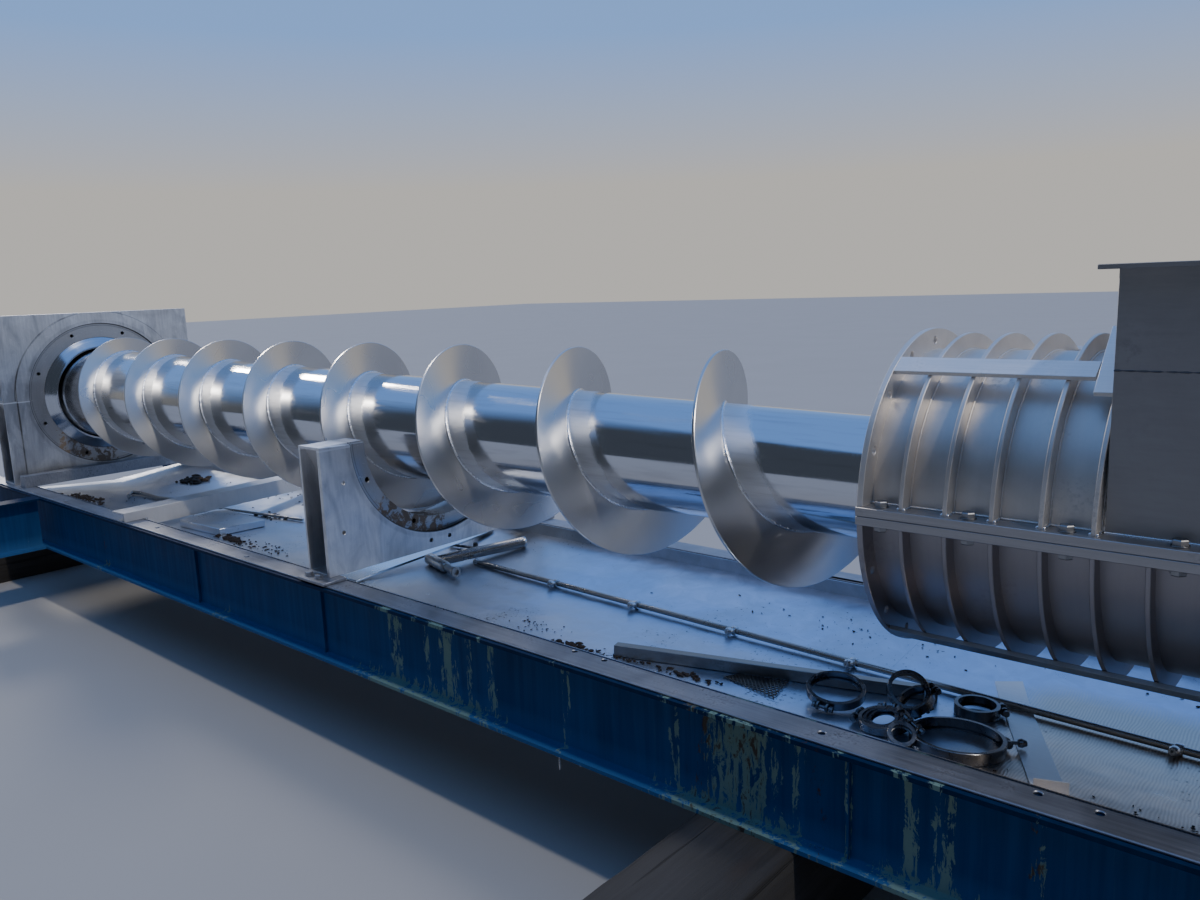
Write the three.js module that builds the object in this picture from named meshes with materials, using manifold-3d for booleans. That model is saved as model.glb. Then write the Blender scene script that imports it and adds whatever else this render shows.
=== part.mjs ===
// Dewatering screw press on a skid, opened up: the screw lies bare between its end
// bulkhead and the ribbed inlet drum, with the screens taken off.
// Millimetres. X runs along the screw toward the inlet, Y across it, Z up.
// The origin is the middle of the footprint, on the ground.
import * as THREE from "three";
import { mergeVertices } from "three/addons/utils/BufferGeometryUtils.js";
import Module from "manifold-3d";

const wasm = await Module();
wasm.setup();

// Screw
const FLIGHT_R = 305;
const FLIGHT_THICK = 9;
const PITCH = 538;
const FLIGHT_TOP_X = -571;
const FLIGHT_START = -4560;
const FLIGHT_END = 1085;
const FLIGHT_STEPS_PER_TURN = 40;
const SHAFT_R_DRUM = 152.5;
const SHAFT_TAPER_X = -170;
const SHAFT_TAPER = 0.0191;
const SHAFT_LEFT = -4770;
const SHAFT_RIGHT = 1135;
const STUB_R = 70;
const STUB_LEFT = -4985;
const STUB_RIGHT = 1470;
const ROUND = 40;

// Frame heights, measured from the screw's axis
const STRIP_TOP = -437;
const STRIP_THICK = 6;
const BEAM_DEPTH = 254;
const BEAM_TOP = STRIP_TOP - STRIP_THICK - 0.3;
const BEAM_BOTTOM = BEAM_TOP - BEAM_DEPTH;
const TIMBER_HEIGHT = 300;
const GROUND = BEAM_BOTTOM - 0.3 - TIMBER_HEIGHT;

// Longitudinal beams
const BEAM_Y = 493;
const BEAM_FLANGE = 98;
const BEAM_FLANGE_THICK = 10;
const BEAM_WEB = 8;
const STIFFENER_REACH = 30;
const STIFFENER_THICK = 8;
const FRAME_LEFT = -5170;
const FRAME_RIGHT = 1570;

// Discharge bulkhead, saddle and inlet bulkhead
const BULKHEAD_FACE = -4655;
const PAD_THICK = 10;
const BULKHEAD_THICK = 150;
const PLATE = 10;
const BULKHEAD_HALF_WIDTH = 503;
const BULKHEAD_TOP = 441;
const ARCH_R = 447;
const ARCH_LEG_Y = 440;
const SEAT_R = 381;
const SEAT_DEPTH = 6;
const BULKHEAD_BORE = 306;
const SLEEVE_WALL = 8;
const BOLT_CIRCLE = 346;
const BOLT_HOLE_R = 9;
const HOUSING_DEPTH = 95;
const HOUSING_R = 105;
const HOUSING_PLATE = 30;
const HOUSING_PLATE_R = 335;
const SADDLE_FACE = -1790;
const SADDLE_THICK = 120;
const SADDLE_HALF_WIDTH = 490;
const SADDLE_TOP = 6;
const SADDLE_SEAT_R = 370;
const SADDLE_BORE = 313;
const SADDLE_BOLT_CIRCLE = 337;
const SADDLE_BASE = { left: -1905, right: -1752, inner: 450, outer: 540 };
const GUSSET_INSET = 14;
const GUSSET_FOOT_Y = 262;

// Inlet drum
const SHELL_IN = 311.5;
const SHELL_OUT = 317.5;
const RIB_R = 355;
const RIB_THICK = 9;
const RIB_FIRST = 90;
const RIB_PITCH = 89;
const RIB_COUNT = 12;
const DRUM_LENGTH = RIB_FIRST + RIB_PITCH * RIB_COUNT;
const END_FLANGE_R = 365;
const END_FLANGE_THICK = 13;
const SPLIT_HALF_WIDTH = 372;
const SPLIT_BAR = 19;
const DRUM_BOLT_CIRCLE = 338;
const BAR_ANGLE = 55.6;
const BAR_WIDTH = 47;
const BAR_THICK = 10;
const UPPER_BAR_RIGHT = 405.5;

// Hopper
const HOPPER_LEFT = 457;
const HOPPER_RIGHT = 1058;
const HOPPER_HALF_WIDTH = 324;
const HOPPER_WALL = 5;
const HOPPER_TOP = 494;
const HOPPER_LIP = 28;
const HOPPER_LIP_THICK = 9;
const MOUTH_HALF_WIDTH = 280;
const MOUTH_FOOT = 25;

const GAP = 0.3;
const FAR_OUT = 9000;

// Basic shapes
function solid(geometry) {
  const bare = geometry.index ? geometry.toNonIndexed() : geometry.clone();
  bare.deleteAttribute("normal");
  bare.deleteAttribute("uv");
  const merged = mergeVertices(bare, 1e-4);
  const mesh = new wasm.Mesh({
    numProp: 3,
    vertProperties: merged.attributes.position.array,
    triVerts: new Uint32Array(merged.index.array),
  });
  return new wasm.Manifold(mesh);
}

function box(x0, x1, y0, y1, z0, z1) {
  const geometry = new THREE.BoxGeometry(x1 - x0, y1 - y0, z1 - z0);
  geometry.translate((x0 + x1) / 2, (y0 + y1) / 2, (z0 + z1) / 2);
  return solid(geometry);
}

// A round bar along X
function rod(radius, x0, x1, segments = ROUND) {
  const geometry = new THREE.CylinderGeometry(radius, radius, x1 - x0, segments);
  geometry.rotateZ(-Math.PI / 2);
  geometry.translate((x0 + x1) / 2, 0, 0);
  return solid(geometry);
}

// A round bar from one point to another
function bar(start, end, radius, segments = 12) {
  const a = new THREE.Vector3(...start);
  const b = new THREE.Vector3(...end);
  const way = b.clone().sub(a);
  const geometry = new THREE.CylinderGeometry(radius, radius, way.length(), segments);
  const up = new THREE.Vector3(0, 1, 0);
  const turn = new THREE.Quaternion().setFromUnitVectors(up, way.clone().normalize());
  geometry.applyQuaternion(turn);
  geometry.translate(...a.add(b).multiplyScalar(0.5).toArray());
  return solid(geometry);
}

// A body spun from [radius, height] points that close on themselves, then put in place
function spun(points, segments, place) {
  const list = points.map(([r, h]) => new THREE.Vector2(r, h));
  const geometry = new THREE.LatheGeometry(list, segments);
  place(geometry);
  const made = solid(geometry);
  if (made.volume() > 0) return made;
  const flipped = new THREE.LatheGeometry(list.reverse(), segments);
  place(flipped);
  return solid(flipped);
}

// A body turned about X from [x, radius] points that close on themselves
function turned(profile, segments = ROUND) {
  return spun(profile.map(([x, r]) => [r, x]), segments, (geometry) => geometry.rotateZ(-Math.PI / 2));
}

function tube(inner, outer, x0, x1, segments = ROUND) {
  return turned([[x0, inner], [x1, inner], [x1, outer], [x0, outer], [x0, inner]], segments);
}

// A flat outline of [y, z] points, drawn along X
function outlineAlongX(points, x0, x1) {
  const shape = new THREE.Shape(points.map(([y, z]) => new THREE.Vector2(y, z)));
  const geometry = new THREE.ExtrudeGeometry(shape, { depth: x1 - x0, bevelEnabled: false });
  const toX = new THREE.Matrix4().set(0, 0, 1, x0, 1, 0, 0, 0, 0, 1, 0, 0, 0, 0, 0, 1);
  geometry.applyMatrix4(toX);
  return solid(geometry);
}

// A flat outline of [x, y] points, drawn upward
function outlineUp(points, z0, z1) {
  const shape = new THREE.Shape(points.map(([x, y]) => new THREE.Vector2(x, y)));
  const geometry = new THREE.ExtrudeGeometry(shape, { depth: z1 - z0, bevelEnabled: false });
  geometry.translate(0, 0, z0);
  return solid(geometry);
}

function joined(parts) {
  return parts.reduce((sum, part) => sum.add(part));
}

function above(z, made) {
  return made.intersect(box(-FAR_OUT, FAR_OUT, -FAR_OUT, FAR_OUT, z, FAR_OUT));
}

function below(z, made) {
  return made.intersect(box(-FAR_OUT, FAR_OUT, -FAR_OUT, FAR_OUT, -FAR_OUT, z));
}

function mirrorY(made) {
  const mesh = made.getMesh();
  const vertProperties = Float32Array.from(mesh.vertProperties, (v, i) => (i % 3 === 1 ? -v : v));
  const triVerts = Uint32Array.from(mesh.triVerts);
  for (let i = 0; i < triVerts.length; i += 3) {
    [triVerts[i + 1], triVerts[i + 2]] = [triVerts[i + 2], triVerts[i + 1]];
  }
  return new wasm.Manifold(new wasm.Mesh({ numProp: 3, vertProperties, triVerts }));
}

// Surfaces
const POLISHED = { color: 0xc9ced4, roughness: 0.12, metalness: 1 };
const BRUSHED = { color: 0xa7a8a8, roughness: 0.38, metalness: 1 };
const DULL = { color: 0x8a8c8e, roughness: 0.5, metalness: 1 };
const DARK = { color: 0x4d5054, roughness: 0.6, metalness: 0.7 };
const BLUE = { color: 0x12305c, roughness: 0.5, metalness: 0.1 };
const SHEET = { color: 0xb4bcc6, roughness: 0.25, metalness: 1 };
const WOOD = { color: 0x6b5a49, roughness: 0.9, metalness: 0 };

const machine = new THREE.Group();
const SHIFT_X = -(FRAME_LEFT + FRAME_RIGHT) / 2;
machine.position.set(SHIFT_X, 0, -GROUND);

function add(name, made, look) {
  const mesh = made.getMesh();
  const geometry = new THREE.BufferGeometry();
  geometry.setAttribute("position", new THREE.BufferAttribute(Float32Array.from(mesh.vertProperties), 3));
  geometry.setIndex(new THREE.BufferAttribute(Uint32Array.from(mesh.triVerts), 1));
  geometry.computeVertexNormals();
  const piece = new THREE.Mesh(geometry, new THREE.MeshStandardMaterial(look));
  piece.name = name;
  machine.add(piece);
}

// Screw shaft: a long cone, straight inside the drum, with a stub at each end
function shaftRadius(x) {
  return SHAFT_R_DRUM + SHAFT_TAPER * Math.max(0, SHAFT_TAPER_X - x);
}

add("screw_shaft", turned([
  [STUB_LEFT, 0],
  [STUB_LEFT, STUB_R],
  [SHAFT_LEFT, STUB_R],
  [SHAFT_LEFT, shaftRadius(SHAFT_LEFT)],
  [SHAFT_TAPER_X, SHAFT_R_DRUM],
  [SHAFT_RIGHT, SHAFT_R_DRUM],
  [SHAFT_RIGHT, STUB_R],
  [STUB_RIGHT, STUB_R],
  [STUB_RIGHT, 0],
].reverse(), 80), POLISHED);

// Screw flight: one ribbon wound round the shaft, at the top where x is FLIGHT_TOP_X
function flightGeometry() {
  const turns = (FLIGHT_END - FLIGHT_START) / PITCH;
  const steps = Math.round(turns * FLIGHT_STEPS_PER_TURN);
  const position = [];
  const index = [];
  const half = FLIGHT_THICK / 2;
  for (let i = 0; i <= steps; i++) {
    const x = FLIGHT_START + ((FLIGHT_END - FLIGHT_START) * i) / steps;
    const angle = (2 * Math.PI * (x - FLIGHT_TOP_X)) / PITCH;
    const inner = shaftRadius(x - half) + 1.1;
    const y = -Math.sin(angle);
    const z = Math.cos(angle);
    position.push(x - half, inner * y, inner * z);
    position.push(x + half, inner * y, inner * z);
    position.push(x + half, FLIGHT_R * y, FLIGHT_R * z);
    position.push(x - half, FLIGHT_R * y, FLIGHT_R * z);
  }
  for (let i = 0; i < steps; i++) {
    const a = 4 * i;
    const b = a + 4;
    for (let k = 0; k < 4; k++) {
      const n = (k + 1) % 4;
      index.push(a + k, b + k, b + n);
      index.push(a + k, b + n, a + n);
    }
  }
  const last = 4 * steps;
  index.push(0, 1, 2, 0, 2, 3);
  index.push(last, last + 2, last + 1, last, last + 3, last + 2);
  return { position, index };
}

function ribbon({ position, index }) {
  const vertProperties = new Float32Array(position);
  const triVerts = new Uint32Array(index);
  const made = new wasm.Manifold(new wasm.Mesh({ numProp: 3, vertProperties, triVerts }));
  if (made.volume() > 0) return made;
  for (let i = 0; i < triVerts.length; i += 3) {
    [triVerts[i + 1], triVerts[i + 2]] = [triVerts[i + 2], triVerts[i + 1]];
  }
  return new wasm.Manifold(new wasm.Mesh({ numProp: 3, vertProperties, triVerts }));
}

add("screw_flight", ribbon(flightGeometry()), BRUSHED);

// Longitudinal beams of I section, with shallow web stiffeners on the outer face
const STIFFENERS = [-2705, -1830, 78, 1250];

function iBeamAlongX(x0, x1, y, z0, z1) {
  const half = BEAM_FLANGE / 2;
  const parts = [
    box(x0, x1, y - half, y + half, z0, z0 + BEAM_FLANGE_THICK),
    box(x0, x1, y - half, y + half, z1 - BEAM_FLANGE_THICK, z1),
    box(x0, x1, y - BEAM_WEB / 2, y + BEAM_WEB / 2, z0, z1),
  ];
  const edges = y > 0 ? [y, y + STIFFENER_REACH] : [y - STIFFENER_REACH, y];
  for (const x of STIFFENERS) {
    parts.push(box(x - STIFFENER_THICK / 2, x + STIFFENER_THICK / 2, ...edges, z0 + 2, z1 - 2));
  }
  return joined(parts);
}

add("beam_near", iBeamAlongX(FRAME_LEFT, FRAME_RIGHT, -BEAM_Y, BEAM_BOTTOM, BEAM_TOP), BLUE);
add("beam_far", iBeamAlongX(FRAME_LEFT, FRAME_RIGHT, BEAM_Y, BEAM_BOTTOM, BEAM_TOP), BLUE);

// Short beams that stick out past the longitudinal beams near the discharge end
const OUTRIGGER_X = -4258;
const OUTRIGGER_REACH = 840;

function iBeamAlongY(x, y0, y1, z0, z1, flange = BEAM_FLANGE) {
  const half = flange / 2;
  return joined([
    box(x - half, x + half, y0, y1, z0, z0 + BEAM_FLANGE_THICK),
    box(x - half, x + half, y0, y1, z1 - BEAM_FLANGE_THICK, z1),
    box(x - BEAM_WEB / 2, x + BEAM_WEB / 2, y0, y1, z0, z1),
  ]);
}

const outriggerStart = BEAM_Y + BEAM_FLANGE / 2 + GAP;
const outrigger = iBeamAlongY(OUTRIGGER_X, outriggerStart, OUTRIGGER_REACH, BEAM_BOTTOM, BEAM_TOP);
add("outrigger_near", mirrorY(outrigger), BLUE);
add("outrigger_far", outrigger, BLUE);

// Cross members between the longitudinal beams, low enough to clear the drip trays
const CROSS_HEIGHT = 110;
const CROSS_FLANGE = 90;
const CROSS_X = { discharge: -5105, outrigger: OUTRIGGER_X, saddle: -1865, inlet: 1505 };
for (const [place, x] of Object.entries(CROSS_X)) {
  const reach = BEAM_Y - BEAM_WEB / 2 - GAP;
  const low = BEAM_BOTTOM + BEAM_FLANGE_THICK + GAP;
  const made = iBeamAlongY(x, -reach, reach, low, low + CROSS_HEIGHT, CROSS_FLANGE);
  add(`cross_member_${place}`, made, BLUE);
}

// Stainless strips on the beams
const STRIP_IN = 452;
const STRIP_OUT = 530;
const STRIP_INSET = 10;
const stripEnds = [FRAME_LEFT + STRIP_INSET, FRAME_RIGHT - STRIP_INSET];
const strip = box(...stripEnds, STRIP_IN, STRIP_OUT, STRIP_TOP - STRIP_THICK, STRIP_TOP);
add("strip_near", mirrorY(strip), DULL);
add("strip_far", strip, DULL);

// Drip trays of folded sheet between the beams
const TRAY_THICK = 3;
const TRAY_LIP_Y = 443.6;
const TRAY_EDGE_Z = -484;
const TRAY_VALLEY_Y = 40;
const TRAY_VALLEY_Z = -519;
const TRAY_ENDS = [-4790, -1880, -110, 1440];

function tray(x0, x1) {
  const outer = [
    [-TRAY_LIP_Y, STRIP_TOP - 2],
    [-TRAY_LIP_Y, TRAY_EDGE_Z],
    [TRAY_VALLEY_Y, TRAY_VALLEY_Z],
    [TRAY_LIP_Y, TRAY_EDGE_Z],
    [TRAY_LIP_Y, STRIP_TOP - 2],
    [TRAY_LIP_Y - TRAY_THICK, STRIP_TOP - 2],
    [TRAY_LIP_Y - TRAY_THICK, TRAY_EDGE_Z + TRAY_THICK],
    [TRAY_VALLEY_Y, TRAY_VALLEY_Z + TRAY_THICK],
    [-TRAY_LIP_Y + TRAY_THICK, TRAY_EDGE_Z + TRAY_THICK],
    [-TRAY_LIP_Y + TRAY_THICK, STRIP_TOP - 2],
  ];
  return outlineAlongX(outer, x0, x1);
}

add("tray_discharge", tray(TRAY_ENDS[0], TRAY_ENDS[1]), SHEET);
add("tray_middle", tray(TRAY_ENDS[1] + GAP, TRAY_ENDS[2]), SHEET);
add("tray_inlet", tray(TRAY_ENDS[2] + GAP, TRAY_ENDS[3]), SHEET);

// Cross bars that lie on the strips at the discharge end
const BAR_HEIGHT = 60;
const ANGLE = { left: -3365, right: -3265, near: -530, far: 480, height: 40, leg: 6, skew: 5 };
const ANGLE_WEB = { reach: 430, bottom: -470 };
const angleTop = STRIP_TOP + ANGLE.height;
const angleWeb = [
  [ANGLE.near, angleTop - 2],
  [ANGLE.near, STRIP_TOP + GAP],
  [-ANGLE_WEB.reach, STRIP_TOP + GAP],
  [-ANGLE_WEB.reach, ANGLE_WEB.bottom],
  [ANGLE_WEB.reach, ANGLE_WEB.bottom],
  [ANGLE_WEB.reach, STRIP_TOP + GAP],
  [ANGLE.far, STRIP_TOP + GAP],
  [ANGLE.far, angleTop - 2],
];
add("bulkhead_bar", box(-4590, -4530, -500, 500, STRIP_TOP + GAP, STRIP_TOP + BAR_HEIGHT), DULL);
add("cross_angle", joined([
  box(ANGLE.left, ANGLE.right, ANGLE.near, ANGLE.far, angleTop - ANGLE.leg, angleTop),
  outlineAlongX(angleWeb, ANGLE.right - ANGLE.leg, ANGLE.right),
]).translate([-ANGLE.right, -ANGLE.near, 0])
  .rotate([0, 0, ANGLE.skew])
  .translate([ANGLE.right, ANGLE.near, 0]), DULL);

// Half a hollow box bulkhead, open at its two ends, with a round bore through it
function halfBox(face, thick, halfWidth, zTop, zBottom, bore, upper) {
  const back = face - thick;
  const inside = [face - PLATE, back + PLATE];
  const full = box(back, face, -halfWidth, halfWidth, zBottom, zTop);
  const cavity = box(inside[1], inside[0], -halfWidth - 1, halfWidth + 1, zBottom + PLATE, zTop - PLATE);
  const sleeve = rod(bore + SLEEVE_WALL, inside[1] - 1, inside[0] + 1);
  let made = full.subtract(cavity.subtract(sleeve));
  const gussets = [-1, 1].map((side) => {
    const joint = upper ? zBottom + PLATE - 1 : zTop - PLATE + 1;
    const far = upper ? zTop - PLATE + 1 : zBottom + PLATE - 1;
    const start = side * (halfWidth - GUSSET_INSET);
    const end = side * GUSSET_FOOT_Y;
    const step = side * PLATE;
    const points = [[start, joint], [start - step, joint], [end - step, far], [end, far]];
    return outlineAlongX(points, inside[1] - 1, inside[0] + 1);
  });
  for (const gusset of gussets) {
    made = made.add(gusset);
  }
  const cut = rod(bore, back - 30, face + 30);
  return { made: made.subtract(cut), cut };
}

function boltHoles(circle, angles, x0, x1) {
  return joined(angles.map((degrees) => {
    const angle = (degrees * Math.PI) / 180;
    const y = -circle * Math.cos(angle);
    const z = circle * Math.sin(angle);
    return bar([x0, y, z], [x1, y, z], BOLT_HOLE_R, 8);
  }));
}

// Saddle: the lower half only, with a recessed half ring for the screen's flange
const LOWER_ANGLES = [-22.5, -67.5, -112.5, -157.5];
const UPPER_ANGLES = [22.5, 67.5, 112.5, 157.5];
const saddleHeights = [SADDLE_TOP, STRIP_TOP + PLATE + GAP];
const saddle = halfBox(SADDLE_FACE, SADDLE_THICK, SADDLE_HALF_WIDTH, ...saddleHeights, SADDLE_BORE, false);
const saddleRecess = rod(SADDLE_SEAT_R, SADDLE_FACE - SEAT_DEPTH, SADDLE_FACE + 10);
const saddleHoles = boltHoles(SADDLE_BOLT_CIRCLE, LOWER_ANGLES, SADDLE_FACE - 25, SADDLE_FACE + 10);
add("saddle", saddle.made.subtract(saddleRecess).subtract(saddleHoles), BRUSHED);

// Base plates under the saddle
const { left, right, inner, outer } = SADDLE_BASE;
const saddleBase = box(left, right, inner, outer, STRIP_TOP + GAP, STRIP_TOP + PLATE);
add("saddle_base_near", mirrorY(saddleBase), DULL);
add("saddle_base_far", saddleBase, DULL);

// Discharge bulkhead: two hollow halves and a raised, arch-shaped pad on the front
const bulkheadBox = BULKHEAD_FACE - PAD_THICK;
const bulkheadFoot = STRIP_TOP + GAP;

function halfBulkhead(face, upper) {
  const [top, bottom] = upper ? [BULKHEAD_TOP, GAP / 2] : [-GAP / 2, bulkheadFoot];
  return halfBox(face, BULKHEAD_THICK, BULKHEAD_HALF_WIDTH, top, bottom, BULKHEAD_BORE, upper);
}

const lowerBulkhead = halfBulkhead(bulkheadBox, false);
const upperBulkhead = halfBulkhead(bulkheadBox, true);
const lowerHoles = boltHoles(BOLT_CIRCLE, LOWER_ANGLES, bulkheadBox - 25, BULKHEAD_FACE + 10);
const upperHoles = boltHoles(BOLT_CIRCLE, UPPER_ANGLES, bulkheadBox - 25, BULKHEAD_FACE + 10);
const recess = rod(SEAT_R, BULKHEAD_FACE - SEAT_DEPTH, BULKHEAD_FACE + 10);
const lowerPad = box(bulkheadBox, BULKHEAD_FACE, -ARCH_LEG_Y, ARCH_LEG_Y, bulkheadFoot + 1, -GAP / 2);
const upperPad = below(BULKHEAD_TOP, above(GAP / 2, rod(ARCH_R, bulkheadBox, BULKHEAD_FACE, 56)));

function paddedBulkhead(half, pad, holes) {
  return half.made.add(pad).subtract(recess).subtract(half.cut).subtract(holes);
}

add("bulkhead_lower", paddedBulkhead(lowerBulkhead, lowerPad, lowerHoles), BRUSHED);
add("bulkhead_upper", paddedBulkhead(upperBulkhead, upperPad, upperHoles), BRUSHED);

// Discharge cone: a polished ring in the bulkhead's bore, round the shaft
const CONE = {
  back: BULKHEAD_FACE - 90,
  shoulder: BULKHEAD_FACE - 12,
  nose: BULKHEAD_FACE + 22,
  bore: 248,
  noseR: 258,
};
const coneOuter = BULKHEAD_BORE - 3 * GAP;
add("discharge_cone", turned([
  [CONE.back, CONE.bore],
  [CONE.nose, CONE.bore],
  [CONE.nose, CONE.noseR],
  [CONE.shoulder, coneOuter],
  [CONE.back, coneOuter],
  [CONE.back, CONE.bore],
]), POLISHED);

// Bearing housings on the backs of the two end bulkheads
function bearingHousing(back, direction) {
  const x = (d) => back + direction * d;
  const profile = [
    [x(GAP), STUB_R + 1],
    [x(HOUSING_DEPTH), STUB_R + 1],
    [x(HOUSING_DEPTH), HOUSING_R],
    [x(HOUSING_PLATE), HOUSING_R + 15],
    [x(HOUSING_PLATE), HOUSING_PLATE_R],
    [x(GAP), HOUSING_PLATE_R],
    [x(GAP), STUB_R + 1],
  ];
  return turned(profile);
}

add("bearing_housing_discharge", bearingHousing(bulkheadBox - BULKHEAD_THICK, -1), DARK);

// Inlet bulkhead behind the drum
const inletFace = DRUM_LENGTH + GAP + BULKHEAD_THICK;
const inletLower = halfBulkhead(inletFace, false);
const inletUpper = halfBulkhead(inletFace, true);
const inletHoles = (angles) => boltHoles(DRUM_BOLT_CIRCLE, angles, DRUM_LENGTH - 10, DRUM_LENGTH + 25);
add("inlet_bulkhead_lower", inletLower.made.subtract(inletHoles(LOWER_ANGLES)), BRUSHED);
add("inlet_bulkhead_upper", inletUpper.made.subtract(inletHoles(UPPER_ANGLES)), BRUSHED);
add("bearing_housing_inlet", bearingHousing(inletFace, 1), DARK);

// Inlet drum: two ribbed halves bolted together at the level of the axis
function drumRings(ribs) {
  const parts = [
    tube(SHELL_IN, SHELL_OUT, 0, DRUM_LENGTH),
    tube(SHELL_OUT - 2, END_FLANGE_R, 0, END_FLANGE_THICK),
    tube(SHELL_OUT - 2, END_FLANGE_R, DRUM_LENGTH - END_FLANGE_THICK, DRUM_LENGTH),
  ];
  for (const x of ribs) {
    parts.push(tube(SHELL_OUT - 2, RIB_R, x - RIB_THICK / 2, x + RIB_THICK / 2));
  }
  return joined(parts);
}

function splitBars(z0, z1) {
  const inside = SHELL_OUT - 3;
  return joined([
    box(0, DRUM_LENGTH, -SPLIT_HALF_WIDTH, -inside, z0, z1),
    box(0, DRUM_LENGTH, inside, SPLIT_HALF_WIDTH, z0, z1),
  ]);
}

const RIBS = Array.from({ length: RIB_COUNT }, (_, i) => RIB_FIRST + RIB_PITCH * i);
const upperRibs = RIBS.filter((x) => x < HOPPER_LEFT || x > HOPPER_RIGHT);
const drumBore = rod(SHELL_IN, -20, DRUM_LENGTH + 20);
const flangeHoles = (angles) => boltHoles(DRUM_BOLT_CIRCLE, angles, -20, 40);
const DRUM_LOWER_ANGLES = [-22.5, -45, -67.5, -90, -112.5, -135, -157.5];
const DRUM_UPPER_ANGLES = DRUM_LOWER_ANGLES.map((angle) => -angle);

const lowerHalf = below(-GAP / 2, drumRings(RIBS)).add(splitBars(-SPLIT_BAR, -GAP / 2)).subtract(drumBore);
add("drum_lower", lowerHalf.subtract(flangeHoles(DRUM_LOWER_ANGLES)), BRUSHED);

const mouthEnds = [HOPPER_LEFT - 3, HOPPER_RIGHT + 3];
const mouthCut = box(...mouthEnds, -MOUTH_HALF_WIDTH, MOUTH_HALF_WIDTH, MOUTH_FOOT, FAR_OUT);
const upperShell = above(GAP / 2, drumRings(upperRibs));
const upperHalf = upperShell.subtract(mouthCut).add(splitBars(GAP / 2, SPLIT_BAR)).subtract(drumBore);
add("drum_upper", upperHalf.subtract(flangeHoles(DRUM_UPPER_ANGLES)), BRUSHED);

// Flat plates that lie on the ribs, from an outline of [x, distance up the slope] points
function ribPlate(degrees, outline) {
  const shape = new THREE.Shape(outline.map(([x, s]) => new THREE.Vector2(x, s)));
  const geometry = new THREE.ExtrudeGeometry(shape, { depth: BAR_THICK, bevelEnabled: false });
  geometry.translate(0, 0, RIB_R + GAP);
  geometry.rotateX(((90 - degrees) * Math.PI) / 180);
  return solid(geometry);
}

// Flat bars along the ribs
function ribBar(degrees, x0, x1) {
  const half = BAR_WIDTH / 2;
  return ribPlate(degrees, [[x0, -half], [x1, -half], [x1, half], [x0, half]]);
}

const barLeft = END_FLANGE_THICK + GAP;
const upperBar = ribBar(BAR_ANGLE, barLeft, UPPER_BAR_RIGHT);
const lowerBar = ribBar(-BAR_ANGLE, barLeft, DRUM_LENGTH - END_FLANGE_THICK - GAP);
add("upper_bar_near", upperBar, BRUSHED);
add("upper_bar_far", mirrorY(upperBar), BRUSHED);
add("lower_bar_near", lowerBar, BRUSHED);
add("lower_bar_far", mirrorY(lowerBar), BRUSHED);

// Hopper: four walls and a lip, cut to sit over the drum
function hopper() {
  const w = HOPPER_HALF_WIDTH;
  const lip = HOPPER_LIP;
  const walls = joined([
    box(HOPPER_LEFT, HOPPER_RIGHT, -w, w, SPLIT_BAR + GAP, HOPPER_TOP - HOPPER_LIP_THICK + 1),
    box(HOPPER_LEFT - lip, HOPPER_RIGHT + lip, -w - lip, w + lip, HOPPER_TOP - HOPPER_LIP_THICK, HOPPER_TOP),
  ]);
  const t = HOPPER_WALL;
  const inside = box(HOPPER_LEFT + t, HOPPER_RIGHT - t, -w + t, w - t, -50, HOPPER_TOP + 50);
  const overDrum = rod(SHELL_OUT + 0.6, HOPPER_LEFT - 50, HOPPER_RIGHT + 50);
  return walls.subtract(inside).subtract(overDrum);
}

add("hopper", hopper(), DARK);

// Gusset plates that lie on the ribs between the upper bars and the hopper's wall
const gussetRight = HOPPER_LEFT - GAP;
const gusset = ribPlate(BAR_ANGLE, [[411, -66], [gussetRight, -66], [gussetRight, 132], [400, 132]]);
add("hopper_gusset_near", gusset, BRUSHED);
add("hopper_gusset_far", mirrorY(gusset), BRUSHED);

// Wash pipe lying in the trays
const WASH_PIPE = { start: [-1720, 85, -503.2], end: [1430, -37, -501.5], radius: 8.5 };
add("wash_pipe", bar(WASH_PIPE.start, WASH_PIPE.end, WASH_PIPE.radius), DULL);

// The trays' floor falls from both sides to a valley
const TRAY_FLOOR_Z = TRAY_VALLEY_Z + TRAY_THICK;
const TRAY_FALL = TRAY_EDGE_Z - TRAY_VALLEY_Z;
const NEAR_SLOPE = TRAY_FALL / (TRAY_VALLEY_Y + TRAY_LIP_Y - TRAY_THICK);
const FAR_SLOPE = TRAY_FALL / (TRAY_LIP_Y - TRAY_THICK - TRAY_VALLEY_Y);

function trayHeight(y) {
  const slope = y < TRAY_VALLEY_Y ? NEAR_SLOPE : FAR_SLOPE;
  return TRAY_FLOOR_Z + slope * Math.abs(y - TRAY_VALLEY_Y);
}

// Lays a shape that stands on z = 0 on the near slope, with its y counted from the valley
function onNearSlope(geometry) {
  geometry.rotateX(-Math.atan(NEAR_SLOPE));
  geometry.translate(0, TRAY_VALLEY_Y, TRAY_FLOOR_Z + GAP);
}

function lyingBox(x, y, turn, length, width, height, lift = 0) {
  const geometry = new THREE.BoxGeometry(length, width, height);
  geometry.translate(0, 0, height / 2 + lift);
  geometry.rotateZ(turn);
  geometry.translate(x, y - TRAY_VALLEY_Y, 0);
  onNearSlope(geometry);
  return solid(geometry);
}

// Loose square bar
const BAR_FROM = [-712, -320];
const BAR_TO = [60, -52];
const BAR_SIDE = 30;
const barRun = [BAR_TO[0] - BAR_FROM[0], BAR_TO[1] - BAR_FROM[1]];
const barMiddle = [(BAR_FROM[0] + BAR_TO[0]) / 2, (BAR_FROM[1] + BAR_TO[1]) / 2];
const barTurn = Math.atan2(barRun[1], barRun[0]);
add("square_bar", lyingBox(...barMiddle, barTurn, Math.hypot(...barRun), BAR_SIDE, BAR_SIDE), DARK);

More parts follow.
